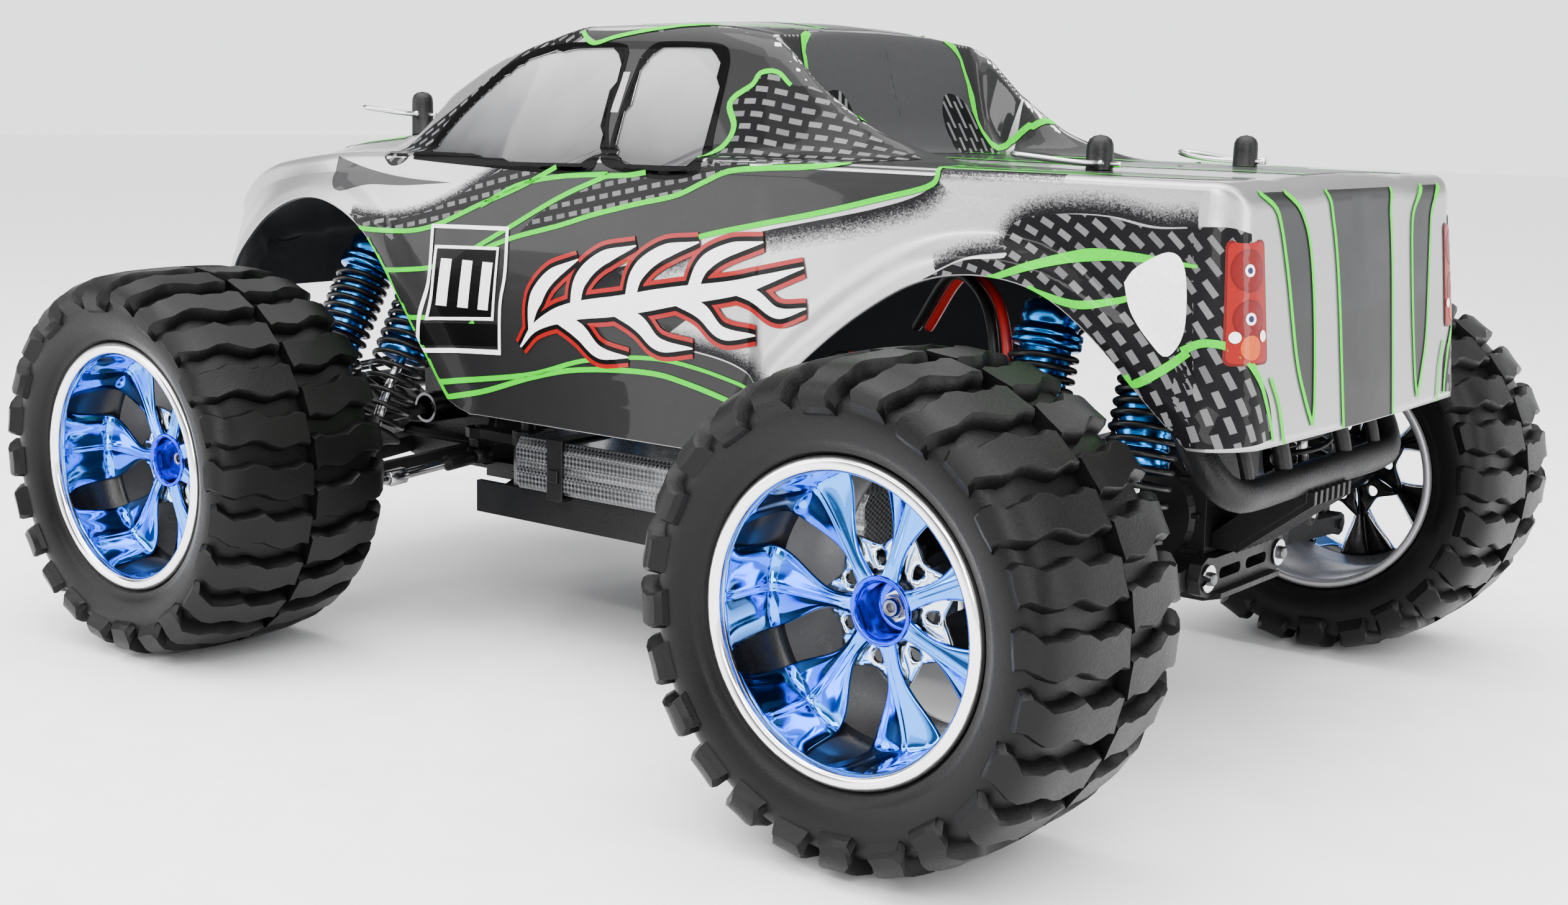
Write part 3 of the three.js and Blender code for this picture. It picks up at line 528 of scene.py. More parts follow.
def rounded(points, radii, spans, steps=4):
    """A polyline with rounded corners and a fixed number of points, whatever its lengths."""
    p = [np.array(q, float) for q in points]
    out, start = [], p[0]
    for i in range(1, len(p) - 1):
        before, after = p[i] - p[i - 1], p[i + 1] - p[i]
        reach = min(radii[i - 1], 0.45 * np.linalg.norm(before), 0.45 * np.linalg.norm(after))
        a = p[i] - before / max(np.linalg.norm(before), 1e-9) * reach
        b = p[i] + after / max(np.linalg.norm(after), 1e-9) * reach
        out += [start + (a - start) * k / spans[i - 1] for k in range(spans[i - 1])]
        out += [a * (1 - t) ** 2 + p[i] * 2 * t * (1 - t) + b * t * t for t in np.arange(steps) / steps]
        start = b
    out += [start + (p[-1] - start) * k / spans[-1] for k in range(spans[-1] + 1)]
    return np.array(out)


def body_section(x):
    """Half the section at x, lower edge to centre line, as columns y, z and q.

    q is the length along the section, from 0 at the foot of the shoulder's round:
    less on the side, more on top."""
    pull = quarter_round(TAIL_X + TAIL_RADIUS - x, TAIL_RADIUS)
    drop = quarter_round(TAIL_X + TAIL_EDGE_RADIUS - x, TAIL_EDGE_RADIUS)
    deck, crown, cab = DECK(x) - drop, CROWN(x) - drop, CAB_EDGE(x) - drop
    bottom, top, base, roof = (t(x) - pull for t in (BOTTOM_HALF, TOP_HALF, CAB_BASE_HALF, ROOF_HALF))
    foot = deck - SHOULDER_RADIUS
    z = np.linspace(lower_edge(x), foot, SIDE_ROWS)
    waist = np.clip((z - 112) / (foot - 112), 0, 1) ** 1.6
    tuck = 2 * np.clip((112 - z) / 42, 0, 1) ** 2
    gap = np.hypot(x - ARCHES[:, 0][:, None], z - ARCHES[:, 1][:, None]).min(0)
    y = top + (bottom - top) * (1 - waist) - tuck + FLARE * smooth((FLARE_WIDTH - gap) / (FLARE_WIDTH - 3))
    side = np.column_stack((y, z, z - foot))
    inner = min(cab, crown)
    upper = rounded([(y[-1], foot), (top, deck), (base, deck + 0.1),
                     (roof, deck + 0.1 + (cab - deck) * 0.88), (roof - 4, cab), (roof - 10, inner),
                     (roof * 0.5, crown * 0.8 + inner * 0.2 + 0.5), (0, crown + 0.8)],
                    [SHOULDER_RADIUS, 5, 6, 6, 5, 20], [1, 3, 14, 2, 3, 5, 7])
    length = np.concatenate(([0], np.cumsum(np.hypot(*np.diff(upper, axis=0).T))))
    upper = np.column_stack((upper, length))
    return np.vstack((side, upper[1:]))


def body_stations():
    """Where the sections stand: closer together where the outline turns fast."""
    run = np.concatenate(([0], np.cumsum(np.hypot(*np.diff(LOWER_EDGE, axis=0).T))))
    x = list(np.interp(np.arange(0, run[-1], 2.0), run, LOWER_EDGE[:, 0]))
    x += list(np.arange(-60, -34, 0.8)) + list(np.arange(44, 120, 1.5)) + list(np.arange(196, 206, 0.8))
    x += [TAIL_X + TAIL_RADIUS * (1 - math.sin(a)) for a in np.linspace(0, math.pi / 2, 10)]
    x += [TAIL_X + TAIL_EDGE_RADIUS * (1 - math.sin(a)) for a in np.linspace(0, math.pi / 2, 9)] + [NOSE_X]
    kept = []
    for v in sorted(v for v in x if TAIL_X <= v <= NOSE_X):
        if not kept or v - kept[-1] > 0.02:
            kept.append(v)
    return np.array(kept)


def lean(x, z):
    """The tail leans out towards its lower edge."""
    return x - TAIL_LEAN * np.clip((150 - z) / 54, 0, 1.2) * smooth((-150 - x) / 45)


class BodySurface:
    """The outer skin, as stations of sections, and as a place lookup by (x, q)."""

    def __init__(self):
        self.x = body_stations()
        self.sections = [body_section(x) for x in self.x]
        self.q = np.arange(-94, 125, 0.5)
        self.y_grid = np.array([np.interp(self.q, s[:, 2], s[:, 0]) for s in self.sections])
        self.z_grid = np.array([np.interp(self.q, s[:, 2], s[:, 1]) for s in self.sections])
        self.end = np.array([s[-1, 2] for s in self.sections])

    def at(self, x, q):
        """Points of the left half for arrays of x and q."""
        x, q = np.clip(x, TAIL_X, NOSE_X), np.clip(q, self.q[0], self.q[-1] - 0.5)
        i = np.clip(np.searchsorted(self.x, x) - 1, 0, len(self.x) - 2)
        j = ((q - self.q[0]) / 0.5).astype(int)
        t = (x - self.x[i]) / (self.x[i + 1] - self.x[i])
        u = (q - self.q[j]) / 0.5
        y, z = ((g[i, j] * (1 - t) + g[i + 1, j] * t) * (1 - u)
                + (g[i, j + 1] * (1 - t) + g[i + 1, j + 1] * t) * u
                for g in (self.y_grid, self.z_grid))
        return np.column_stack((lean(x, z), y, z))

    def normals(self, x, q, reach=0.8):
        along = self.at(x + reach, q) - self.at(x - reach, q)
        up = self.at(x, q + reach) - self.at(x, q - reach)
        n = np.cross(up, along)
        return n / np.maximum(np.linalg.norm(n, axis=1), 1e-9)[:, None]

    def section(self, x):
        return self.sections[int(np.argmin(abs(self.x - x)))]

    def side(self, points):
        """(x, z) on the side and up the cab's wall, as (x, q)."""
        out = []
        for x, z in points:
            s = self.section(x)
            climb = s[: int(np.argmax(s[:, 1] > s[:, 1].max() - 0.6)) + 1]
            rising = np.maximum.accumulate(climb[:, 1]) + np.arange(len(climb)) * 1e-5
            out.append((x, float(np.interp(z, rising, climb[:, 2]))))
        return out

    def top(self, points):
        """(x, y) seen from above, as (x, q)."""
        out = []
        for x, y in points:
            s = self.section(x)[SIDE_ROWS:]
            out.append((x, float(np.interp(-y, -s[:, 0], s[:, 2]))))
        return out


SKIN = BodySurface()

# Windows, seen from the side in (x, z), and the windscreen from above in (x, y).
FRONT_WINDOW = [[(88, 156.5), (84, 168), (70, 181), (54, 189), (38, 191.5), (15, 191.5), (11.5, 189.5)],
                [(11.5, 189.5), (11.5, 182), (12.5, 170), (8.5, 158.5)],
                [(8.5, 158.5), (11, 155.5), (20, 154.5), (58, 155.5), (88, 156.5)]]
FRONT_GLASS = [[(83, 158.5), (79.5, 167), (68, 177.5), (52, 186.5), (38, 189.5), (17, 189.5), (14, 187.5)],
               [(14, 187.5), (14, 181), (14.8, 170), (11.5, 159.8)],
               [(11.5, 159.8), (14, 158), (24, 157.3), (58, 158), (83, 158.5)]]
REAR_WINDOW = [[(4, 188), (1, 191), (-4, 192), (-23, 191.5), (-27.5, 188.5), (-28.5, 182), (-29.5, 165),
                (-31.5, 157.5), (-24, 155), (-14, 154.8), (-2, 156.3), (5, 158.5), (7, 163), (6.3, 175),
                (4, 188)]]
REAR_GLASS = [[(1.8, 187), (-0.5, 189), (-5, 189.6), (-21, 189.3), (-24.5, 187), (-25.5, 181), (-26.5, 166),
               (-28, 159.8), (-22, 158), (-13, 157.8), (-3, 158.8), (2.6, 161), (4.4, 164.5), (3.8, 175),
               (1.8, 187)]]
WINDSCREEN = [[(106, 0), (105, 25), (100, 46)], [(100, 46), (74, 49), (52, 49.5)],
              [(52, 49.5), (49, 25), (48.5, 0)]]
SCREEN_GLASS = [[(102.5, 0), (101.5, 24), (97.5, 43)], [(97.5, 43), (74, 45.5), (55.5, 46)],
                [(55.5, 46), (52.5, 24), (52, 0)]]


def outline_on(kind, runs):
    """An outline's smooth points as (x, q), with no edge longer than the skin's mesh."""
    points = getattr(SKIN, kind)(strokes(*runs, step=1.2))
    out = []
    for (x0, q0), (x1, q1) in zip(points, points[1:] + points[:1]):
        parts = max(1, math.ceil(math.hypot(x1 - x0, q1 - q0) / 1.6))
        if math.hypot(x1 - x0, q1 - q0) > 1e-4:
            out += [(x0 + (x1 - x0) * k / parts, q0 + (q1 - q0) * k / parts) for k in range(parts)]
    return out


def between(outer, inner):
    """The outline half-way between a frame's outer and inner outlines: nearest points are averaged."""
    inner = np.array(inner)
    out = []
    for p in np.array(outer):
        near = inner[np.argmin(np.hypot(*(inner - p).T))]
        out.append(tuple((p + near) / 2))
    return out


WINDOWS = [(outline_on("side", FRONT_WINDOW), outline_on("side", FRONT_GLASS)),
           (outline_on("side", REAR_WINDOW), outline_on("side", REAR_GLASS)),
           (outline_on("top", WINDSCREEN), outline_on("top", SCREEN_GLASS))]
WINDOW_CUTS = [between(outer, inner) for outer, inner in WINDOWS]


def body_mesh():
    """The painted skin, open at the windows, with its tail and nose closed."""
    x, sections = SKIN.x, SKIN.sections
    rows = len(sections[0])
    grid = np.array([[(lean(a, s[k, 1]), s[k, 0], s[k, 1]) for k in range(rows)]
                     for a, s in zip(x, sections)])
    middle_x = (x[:-1] + x[1:]) / 2
    q = np.array([s[:, 2] for s in sections])
    middle_q = (q[:-1, :-1] + q[1:, :-1] + q[:-1, 1:] + q[1:, 1:]) / 4
    centres = np.column_stack((np.repeat(middle_x, rows - 1), middle_q.ravel()))
    open_ = np.zeros(len(centres), bool)
    for cut in WINDOW_CUTS:
        open_ |= inside(cut, centres)
    faces = []
    for i in range(len(x) - 1):
        for k in range(rows - 1):
            if not open_[i * (rows - 1) + k]:
                faces.append((i * rows + k, i * rows + k + 1, (i + 1) * rows + k + 1, (i + 1) * rows + k))
    half = Shape().add(grid.reshape(-1, 3).tolist(), faces)
    top_row = SIDE_ROWS + 4
    for ring, tail in ((grid[0], True), (grid[-1], False)):
        low, high = ring[0], ring[top_row]
        points = []
        for k in range(top_row + 1):
            lift = (ring[k][2] - low[2]) / (high[2] - low[2])
            for m in range(top_row, rows):
                y = ring[k][1] * ring[m][1] / high[1]
                z = ring[k][2] + (ring[m][2] - high[2]) * lift
                swell = 1.2 * (1 - (ring[m][1] / high[1]) ** 2) * (1 if tail else -2.5)
                points.append((ring[k][0] - swell * (1 - lift ** 6), y, z))
        n = rows - top_row
        quads = [(k * n + m, k * n + m + 1, (k + 1) * n + m + 1, (k + 1) * n + m)
                 for k in range(top_row) for m in range(n - 1)]
        half.add(points, quads if tail else [tuple(reversed(f)) for f in quads])
    whole = Shape().add(half.points, half.faces)
    whole.add(half.points, half.faces, matrix=Matrix.Diagonal((1, -1, 1, 1)))
    return whole


# ---------------------------------------------------------------- body shell: the printed paint


def triangles(outline, spacing, holes=()):
    """Triangulates a 2-D outline evenly; faces inside a hole are left out."""
    loop = np.array(outline)
    low, high = loop.min(0), loop.max(0)
    grid = np.stack(np.meshgrid(np.arange(low[0], high[0], spacing), np.arange(low[1], high[1], spacing)),
                    -1)
    grid[1::2, :, 0] += spacing / 2
    grid = grid.reshape(-1, 2)
    grid = grid[inside(loop, grid)]
    rims = np.vstack([loop, *[np.array(h) for h in holes]]) if holes else loop
    if len(grid):
        gap = np.array([np.hypot(*(rims - g).T).min() for g in grid])
        grid = grid[gap > spacing * 0.6]
    points = [tuple(p) for p in loop]
    edges = [(i, (i + 1) % len(loop)) for i in range(len(loop))]
    for hole in holes:
        start = len(points)
        points += [tuple(p) for p in hole]
        edges += [(start + i, start + (i + 1) % len(hole)) for i in range(len(hole))]
    points += [tuple(p) for p in grid]
    out, _, faces, *_ = geometry.delaunay_2d_cdt([Vector(p) for p in points], edges, [], 0, 1e-5)
    out = np.array([tuple(p) for p in out])
    faces = np.array([tuple(f) for f in faces])
    middle = out[faces].mean(1)
    keep = inside(loop, middle)
    for hole in holes:
        keep &= ~inside(hole, middle)
    faces = faces[keep]
    a, b, c = (out[faces[:, k]] for k in range(3))
    area = (b[:, 0] - a[:, 0]) * (c[:, 1] - a[:, 1]) - (b[:, 1] - a[:, 1]) * (c[:, 0] - a[:, 0])
    faces[area < 0] = faces[area < 0][:, ::-1]
    return out, faces[abs(area) > 1e-6]


class Prints:
    """Thin printed layers on the body's skin, collected by ink."""

    def __init__(self, tree):
        self.tree = tree
        self.inks = {}

    def seat(self, points, normals, lift):
        """Points just off the skin's own faces, along its smooth normal."""
        out = []
        for p, n in zip(points, normals):
            near = self.tree.find_nearest(Vector(p))[0] + Vector(n) * lift
            out.append(near - Vector((0, CENTRE_OVERLAP, 0)) if abs(near.y) < CENTRE_OVERLAP else near)
        return out

    def put(self, ink, points, normals, faces, uvs, mirrored=True):
        shape, turned = self.inks.setdefault(ink, (Shape(), []))
        shape.add(points, [tuple(f) for f in faces], uvs=uvs)
        turned += [tuple(n) for n in normals]
        if mirrored:
            shape.add(points, [tuple(f) for f in faces], matrix=Matrix.Diagonal((1, -1, 1, 1)), uvs=uvs)
            turned += [(n[0], -n[1], n[2]) for n in normals]

    def patch(self, ink, outline, lift, holes=(), layout=None, spacing=1.9):
        """A filled outline given in (x, q) on the left half, and its mirror image."""
        flat, faces = triangles(outline, spacing, holes)
        points, normals = SKIN.at(*flat.T), SKIN.normals(*flat.T)
        uvs = [layout(x, q) for x, q in flat] if layout else None
        self.put(ink, self.seat(points, normals, lift), normals, faces[:, ::-1], uvs)

    def stripe(self, ink, run, width, lift, shift=0.0):
        """A ribbon along (x, q) points; width is one number, or one for each end and the middle."""
        run = np.array(run)
        length = np.concatenate(([0], np.cumsum(np.hypot(*np.diff(run, axis=0).T))))
        share = length / length[-1]
        if isinstance(width, tuple):
            widths = np.interp(share, np.linspace(0, 1, len(width)), width)
        else:
            widths = np.full(len(run), width)
        along = np.gradient(run, axis=0)
        along /= np.maximum(np.hypot(*along.T), 1e-9)[:, None]
        across = np.column_stack((-along[:, 1], along[:, 0]))
        lanes = [run + across * (widths * (t - 0.5) + shift)[:, None] for t in (0, 0.33, 0.67, 1)]
        flat = np.vstack(lanes)
        n = len(run)
        points, normals = SKIN.at(*flat.T), SKIN.normals(*flat.T)
        faces = [(k * n + i, k * n + i + 1, (k + 1) * n + i + 1, (k + 1) * n + i)
                 for k in range(len(lanes) - 1) for i in range(n - 1)]
        uvs = [(l, t) for t in (0, 0.33, 0.67, 1) for l in length]
        faces = [tuple(reversed(f)) for f in faces]
        self.put(ink, self.seat(points, normals, lift), normals, faces, uvs)

    def rays(self, ink, outline, to_ray, lift, holes=(), layout=None, spacing=1.9, mirrored=True):
        """A filled outline thrown on the skin along rays, for the tail and its corners."""
        flat, faces = triangles(outline, spacing, holes)
        faces = self.outward(to_ray, [tuple(f) for f in faces])
        points, normals = self.cast([to_ray(a, b) for a, b in flat], lift)
        uvs = [layout(a, b) for a, b in flat] if layout else None
        self.put(ink, points, normals, faces, uvs, mirrored)

    def ray_stripe(self, ink, run, width, to_ray, lift, mirrored=True):
        run = np.array(run)
        length = np.concatenate(([0], np.cumsum(np.hypot(*np.diff(run, axis=0).T))))
        widths = np.interp(length / length[-1], np.linspace(0, 1, len(width)), width) \
            if isinstance(width, tuple) else np.full(len(run), width)
        along = np.gradient(run, axis=0)
        along /= np.maximum(np.hypot(*along.T), 1e-9)[:, None]
        across = np.column_stack((-along[:, 1], along[:, 0]))
        flat = np.vstack([run + across * (widths * t)[:, None] for t in (-0.5, 0, 0.5)])
        n = len(run)
        points, normals = self.cast([to_ray(a, b) for a, b in flat], lift)
        faces = [(k * n + i, k * n + i + 1, (k + 1) * n + i + 1, (k + 1) * n + i)
                 for k in range(2) for i in range(n - 1)]
        uvs = [(l, t) for t in (0, 0.5, 1) for l in length]
        self.put(ink, points, normals, self.outward(to_ray, faces), uvs, mirrored)

    @staticmethod
    def outward(to_ray, faces):
        """Tail outlines run the other way round from the corner's, seen from outside."""
        return [tuple(reversed(f)) for f in faces] if to_ray is tail_ray else faces

    def cast(self, rays, lift):
        points, normals = [], []
        for origin, direction in rays:
            hit, normal, *_ = self.tree.ray_cast(Vector(origin), Vector(direction))
            if hit is None:
                hit, normal, *_ = self.tree.find_nearest(Vector(origin) + Vector(direction) * 40)
            if normal.dot(Vector(direction)) > 0:
                normal = -normal
            points.append(hit + normal * lift)
            normals.append(tuple(normal))
        return points, normals

    def build(self, inks):
        for ink, (shape, normals) in self.inks.items():
            kept = [i for i, f in enumerate(shape.faces) if len(set(f)) == len(f)]
            shape.faces, shape.slots = [shape.faces[i] for i in kept], [shape.slots[i] for i in kept]
            thing = shape.build(ink, [inks[ink]])
            if len(thing.data.vertices) == len(normals):
                thing.data.normals_split_custom_set_from_vertices([Vector(n).normalized() for n in normals])
            finish_piece(thing, "body_shell")


def tail_ray(y, z):
    return (TAIL_X - 40, y, z), (1, 0, 0)


CORNER_Y = TOP_HALF(-185) - TAIL_RADIUS + 1.5
CORNER_RUN = TAIL_RADIUS * math.pi / 2


def corner_ray(s, z):
    """s runs back along the side from X = -185, round the corner and across the tail."""
    start = TAIL_X + TAIL_RADIUS
    if s <= 0:
        return (start - s, 130, z), (0, -1, 0)
    if s >= CORNER_RUN:
        return (TAIL_X - 40, CORNER_Y - (s - CORNER_RUN), z), (1, 0, 0)
    a = s / TAIL_RADIUS
    out = Vector((-math.sin(a), math.cos(a), 0))
    return tuple(Vector((start, CORNER_Y, z)) + out * 50), tuple(-out)


def edge_run(x0, x1, inset=0.25):
    """The body's lower edge between two stations, a touch inside it, as (x, q)."""
    count = max(2, int(abs(x1 - x0) / 1.0))
    out = []
    for x in np.linspace(x0, x1, count):
        z = lower_edge(x) + inset
        out.append((float(x), z - (SKIN.section(x)[SIDE_ROWS - 1, 1])))
    return out


def side(*runs):
    return SKIN.side(strokes(*runs, step=1.2))


def top(*runs):
    return SKIN.top(strokes(*runs, step=1.2))


def centre(x0, x1):
    """The body's middle line between two stations, as (x, q)."""
    return top([(x0, 0), ((x0 + x1) / 2, 0), (x1, 0)])


def dense(points):
    """(x, q) points with no gap longer than 1.4 mm, so a print bends over the shoulder."""
    out = [points[0]]
    for (x0, q0), (x1, q1) in zip(points, points[1:]):
        gap = math.hypot(x1 - x0, q1 - q0)
        parts = max(1, math.ceil(gap / 1.4))
        if gap > 1e-3:
            out += [(x0 + (x1 - x0) * k / parts, q0 + (q1 - q0) * k / parts) for k in range(1, parts + 1)]
    return out


def joined(*pieces):
    """One (x, q) outline from several stretches."""
    points = [p for piece in pieces for p in piece]
    return dense(points + points[:1])[:-1]


def level_dashes(angle=0.0, grow=1.0):
    """A print layout whose rows run at this angle."""
    c, s = math.cos(math.radians(angle)), math.sin(math.radians(angle))
    return lambda x, q: ((x * c + q * s) / grow, (-x * s + q * c) / grow)


def fanned_dashes(x, q):
    """Rows that swing round the rear wheel arch and grow towards the tail."""
    dx, dz = x + 112, q + 80
    return math.atan2(dx, dz) * 86, math.hypot(dx, dz) * 1.1


LINE = 1.5
CENTRE_OVERLAP = 0.15  # a print's two halves reach this far past the middle
CHARCOAL, FADE, DASH, FRAME, PIN, STICKER = 0.10, 0.17, 0.24, 0.31, 0.38, 0.45


def print_sides(p):
    """The side prints: dashes, charcoal areas, sprayed edges and green lines."""
    crest = [(108, 132.5), (90, 132.5), (76, 135), (58, 142), (40, 148.5), (24, 155.5)]
    sail_rim = [(-38, 197.4), (-46, 194.5), (-56, 185), (-66, 176), (-80, 167.6), (-96, 162.6)]
    bed_loop = [(-96, 162), (-112, 160.6), (-113, 158.5), (-110, 155.5), (-94, 151.3), (-74, 146.5),
                (-40, 139.5), (-20, 134), (0, 127.5)]
    wedge = [(0, 127.5), (-10, 122), (-24, 118), (-30, 114)]
    tip = [(-30, 114), (-22, 109), (-14, 106)]
    low_wedge = [(-14, 106), (-32, 105), (-48, 102.5), (-62, 96.5)]
    holes = WINDOW_CUTS[:2]
    door = joined(side(crest), side([(24, 155.5), (10, 159), (3, 159.5), (-31, 159), (-60, 160),
                                     (-96, 162)]), side(bed_loop), side(wedge), side(tip), side(low_wedge),
                  edge_run(-62, 107))
    p.patch("charcoal", door, CHARCOAL, holes)
    cab = joined(side([(33, 196.6), (26, 193.5), (17, 191.8)]), side([(13, 188), (13, 172), (9, 159)]),
                 side([(9, 159), (3, 159.5), (-31, 159), (-60, 160), (-96, 162)]),
                 side(list(reversed(sail_rim))), side([(-38, 197.4), (-12, 198), (3, 197.4), (17, 196.5),
                                                       (33, 196.6)]))
    p.patch("charcoal", cab, CHARCOAL, holes)
    p.patch("pale_patch", joined(side([(11, 184), (7.6, 184)], [(7.6, 184), (8.4, 172)],
                                      [(8.4, 172), (11.4, 172)], [(11.4, 172), (11, 184)])), DASH)

    dash_top = joined(side([(114, 137), (100, 136), (85, 138), (70, 143), (59, 148.5), (44, 155.5)]),
                      side([(44, 155.5), (24, 155.5)]), side(list(reversed(crest))))
    p.patch("dashes", dash_top, DASH, layout=level_dashes(-12, 0.82))
    dash_belt = joined(side([(40, 133.8), (30, 141.5), (18, 147), (3, 152.5), (-14, 155), (-25, 156),
                             (-36, 160)]), side([(-36, 160), (-44, 157.5), (-34, 153.8), (-24, 149.7),
                                                 (-9, 146.5), (8, 142.6), (22, 138.8), (40, 133.8)]))
    p.patch("dashes", dash_belt, DASH, layout=level_dashes(-10, 0.82))
    sail = joined(side([(-34, 159), (-35.5, 164), (-37, 169), (-33.5, 174.5), (-34.5, 177.5), (-39.5, 181),
                        (-41, 184.2), (-46, 184.6), (-51, 181)]),
                  side([(-51, 181), (-58, 180), (-66, 174), (-80, 166.5), (-96, 161.8)]),
                  side([(-96, 161.8), (-70, 159.3), (-55, 158.4), (-42, 156.8), (-34, 159)]))
    p.patch("dashes", sail, DASH, layout=level_dashes(-4, 0.95))
    pillar = joined(side([(103, 156), (97, 164), (84, 173.5), (68, 184.5), (54, 193.5), (44, 197),
                          (33, 198.2)]), side([(33, 198.2), (31, 195), (36, 192)]),
                    side([(36, 192), (51, 190), (67, 182), (80, 172), (88, 161), (92, 155), (99, 153),
                          (103, 156)]))
    p.patch("dashes", pillar, FADE, layout=level_dashes(-38, 0.82))

    arch_x = (-113.5, -184.5)
    quarter = joined(side([(-113.5, 132), (-125, 137.5), (-137, 139), (-135.5, 142), (-136, 146),
                           (-140, 149), (-150, 150.5), (-163, 150.5), (-175, 148.5), (-186, 149)]),
                     side([(-186, 149), (-186, 97)]), edge_run(*reversed(arch_x)))
    p.patch("dashes", quarter, DASH, layout=fanned_dashes)
    wrap = strokes([(-0.6, 149.3), (10, 149.5), (17, 148)], [(17, 148), (17, 116)],
                   [(17, 116), (23, 108), (25, 98.2)], [(25, 98.2), (12, 97), (-0.6, 96.6)],
                   [(-0.6, 96.6), (-0.6, 149.3)], step=1.3)[:-1]
    p.rays("dashes", wrap, corner_ray, DASH,
           layout=lambda s, z: fanned_dashes(-185 - s, z - 154))

    fades = [
        (side([(8, 124.5), (-20, 131.5), (-55, 140.5), (-92, 148.5), (-108, 153.5), (-112, 158)]), 7),
        (side([(-16, 106.5), (-32, 105.5), (-48, 103), (-62, 97)]), -6),
        (side([(-117, 134.5), (-126, 138.5), (-138, 140.5)]), -5),
        (side([(-137.5, 142), (-138, 146), (-142, 149.2), (-152, 150.8), (-164, 150.8), (-176, 149),
               (-187, 149.4)]), -6),
        (side([(113, 137), (100, 136), (85, 138), (70, 143), (59, 148.5), (46, 155)]), -3.5),
        (side([(-113, 160), (-130, 160.2), (-150, 160.2)]), 3.5),
    ]
    for run, width in fades:
        run = run if width > 0 else run[::-1]
        p.stripe("sprayed_edge", dense(run), abs(width), FADE, shift=abs(width) / 2)
    brow = joined(side([(126, 155), (110, 151.5), (92, 149.5), (70, 148.8)]), side([(70, 148.8), (92, 147),
                  (110, 146.5), (122, 144), (127, 148), (126, 155)]))
    p.patch("smoke", brow, FADE)

    pins = [
        (side(crest), LINE), (side([(56, 142.3), (40, 149.3), (23, 152.6), (3, 154.2)]), LINE),
        (side([(3, 153.8), (22, 146.5), (43, 136.3), (62, 127)]), LINE),
        (side([(4, 153.6), (-5, 154.2), (-12, 155.3)]), LINE),
        (side([(62, 126), (42, 133), (22, 138), (8, 142), (-9, 146), (-24, 149.2), (-34, 153.3),
               (-43, 156.8),
               (-56, 158.2), (-70, 159), (-84, 160.4)]), LINE),
        (side([(103, 120), (90, 120.2), (78, 121.5), (66, 124.5)]), LINE),
        (side(bed_loop[1:]), LINE), (side([(93, 105.4), (76, 106), (62, 109)]), LINE),
        (side([(88, 96.5), (81, 97)]), LINE), (side([(66, 100), (58, 106)]), LINE),
        (side([(80, 84.5), (55, 88), (32, 92), (10, 98.3), (-15, 101.5), (-35, 100.3), (-60, 95.5)]),
         (2.0, 1.4, 1.0)),
        (side([(76, 79.6), (55, 84), (32, 91), (12, 95.3), (-15, 97.2), (-32, 95.3), (-54, 90.5)]),
         (1.8, 1.6, 1.6)),
        (side([(-30, 160), (-35.5, 164), (-37, 169), (-33.5, 174.5), (-34.5, 177.5), (-39.5, 181),
               (-41, 184.2),
               (-46, 184.6), (-51, 181)]), (1.6, 2.0, 1.2)),
        (side([(33, 196.2), (26, 192.6), (17, 194.6), (3, 196.8), (-12, 198), (-36, 198)]), LINE),
        (side([(-133, 133.3), (-145, 137.5), (-159, 141), (-172, 141.2), (-187, 140)]), (1.4, 3.2, 0.8)),
        (side([(-145, 131.8), (-158, 129), (-166, 130), (-172, 132), (-177, 135)]), (1.6, 2.0, 1.0)),
        (side([(-171, 109.5), (-177, 113), (-184.8, 119.5)]), (2.2, 2.0)),
        (side([(-113, 160.3), (-140, 160.2), (-160, 160.2)]), (1.1, 0.4)),
    ]
    for run, width in pins:
        p.stripe("green_line", dense(run), width, PIN)
    flash = joined(side([(-169, 135), (-172, 139), (-180, 143), (-184, 139), (-184, 125), (-180, 118),
                         (-176, 121), (-171, 128), (-169, 135)]))
    p.patch("white_flash", flash, PIN + 0.05)


def print_windows(p):
    for outer, inner in WINDOWS:
        p.patch("window_frames", outer, FRAME, holes=[inner], spacing=1.3)
        p.stripe("window_frames", outer + outer[:1], 2.4, FRAME)
        p.patch("window_glass", between(outer, inner), -0.35, spacing=2.4)


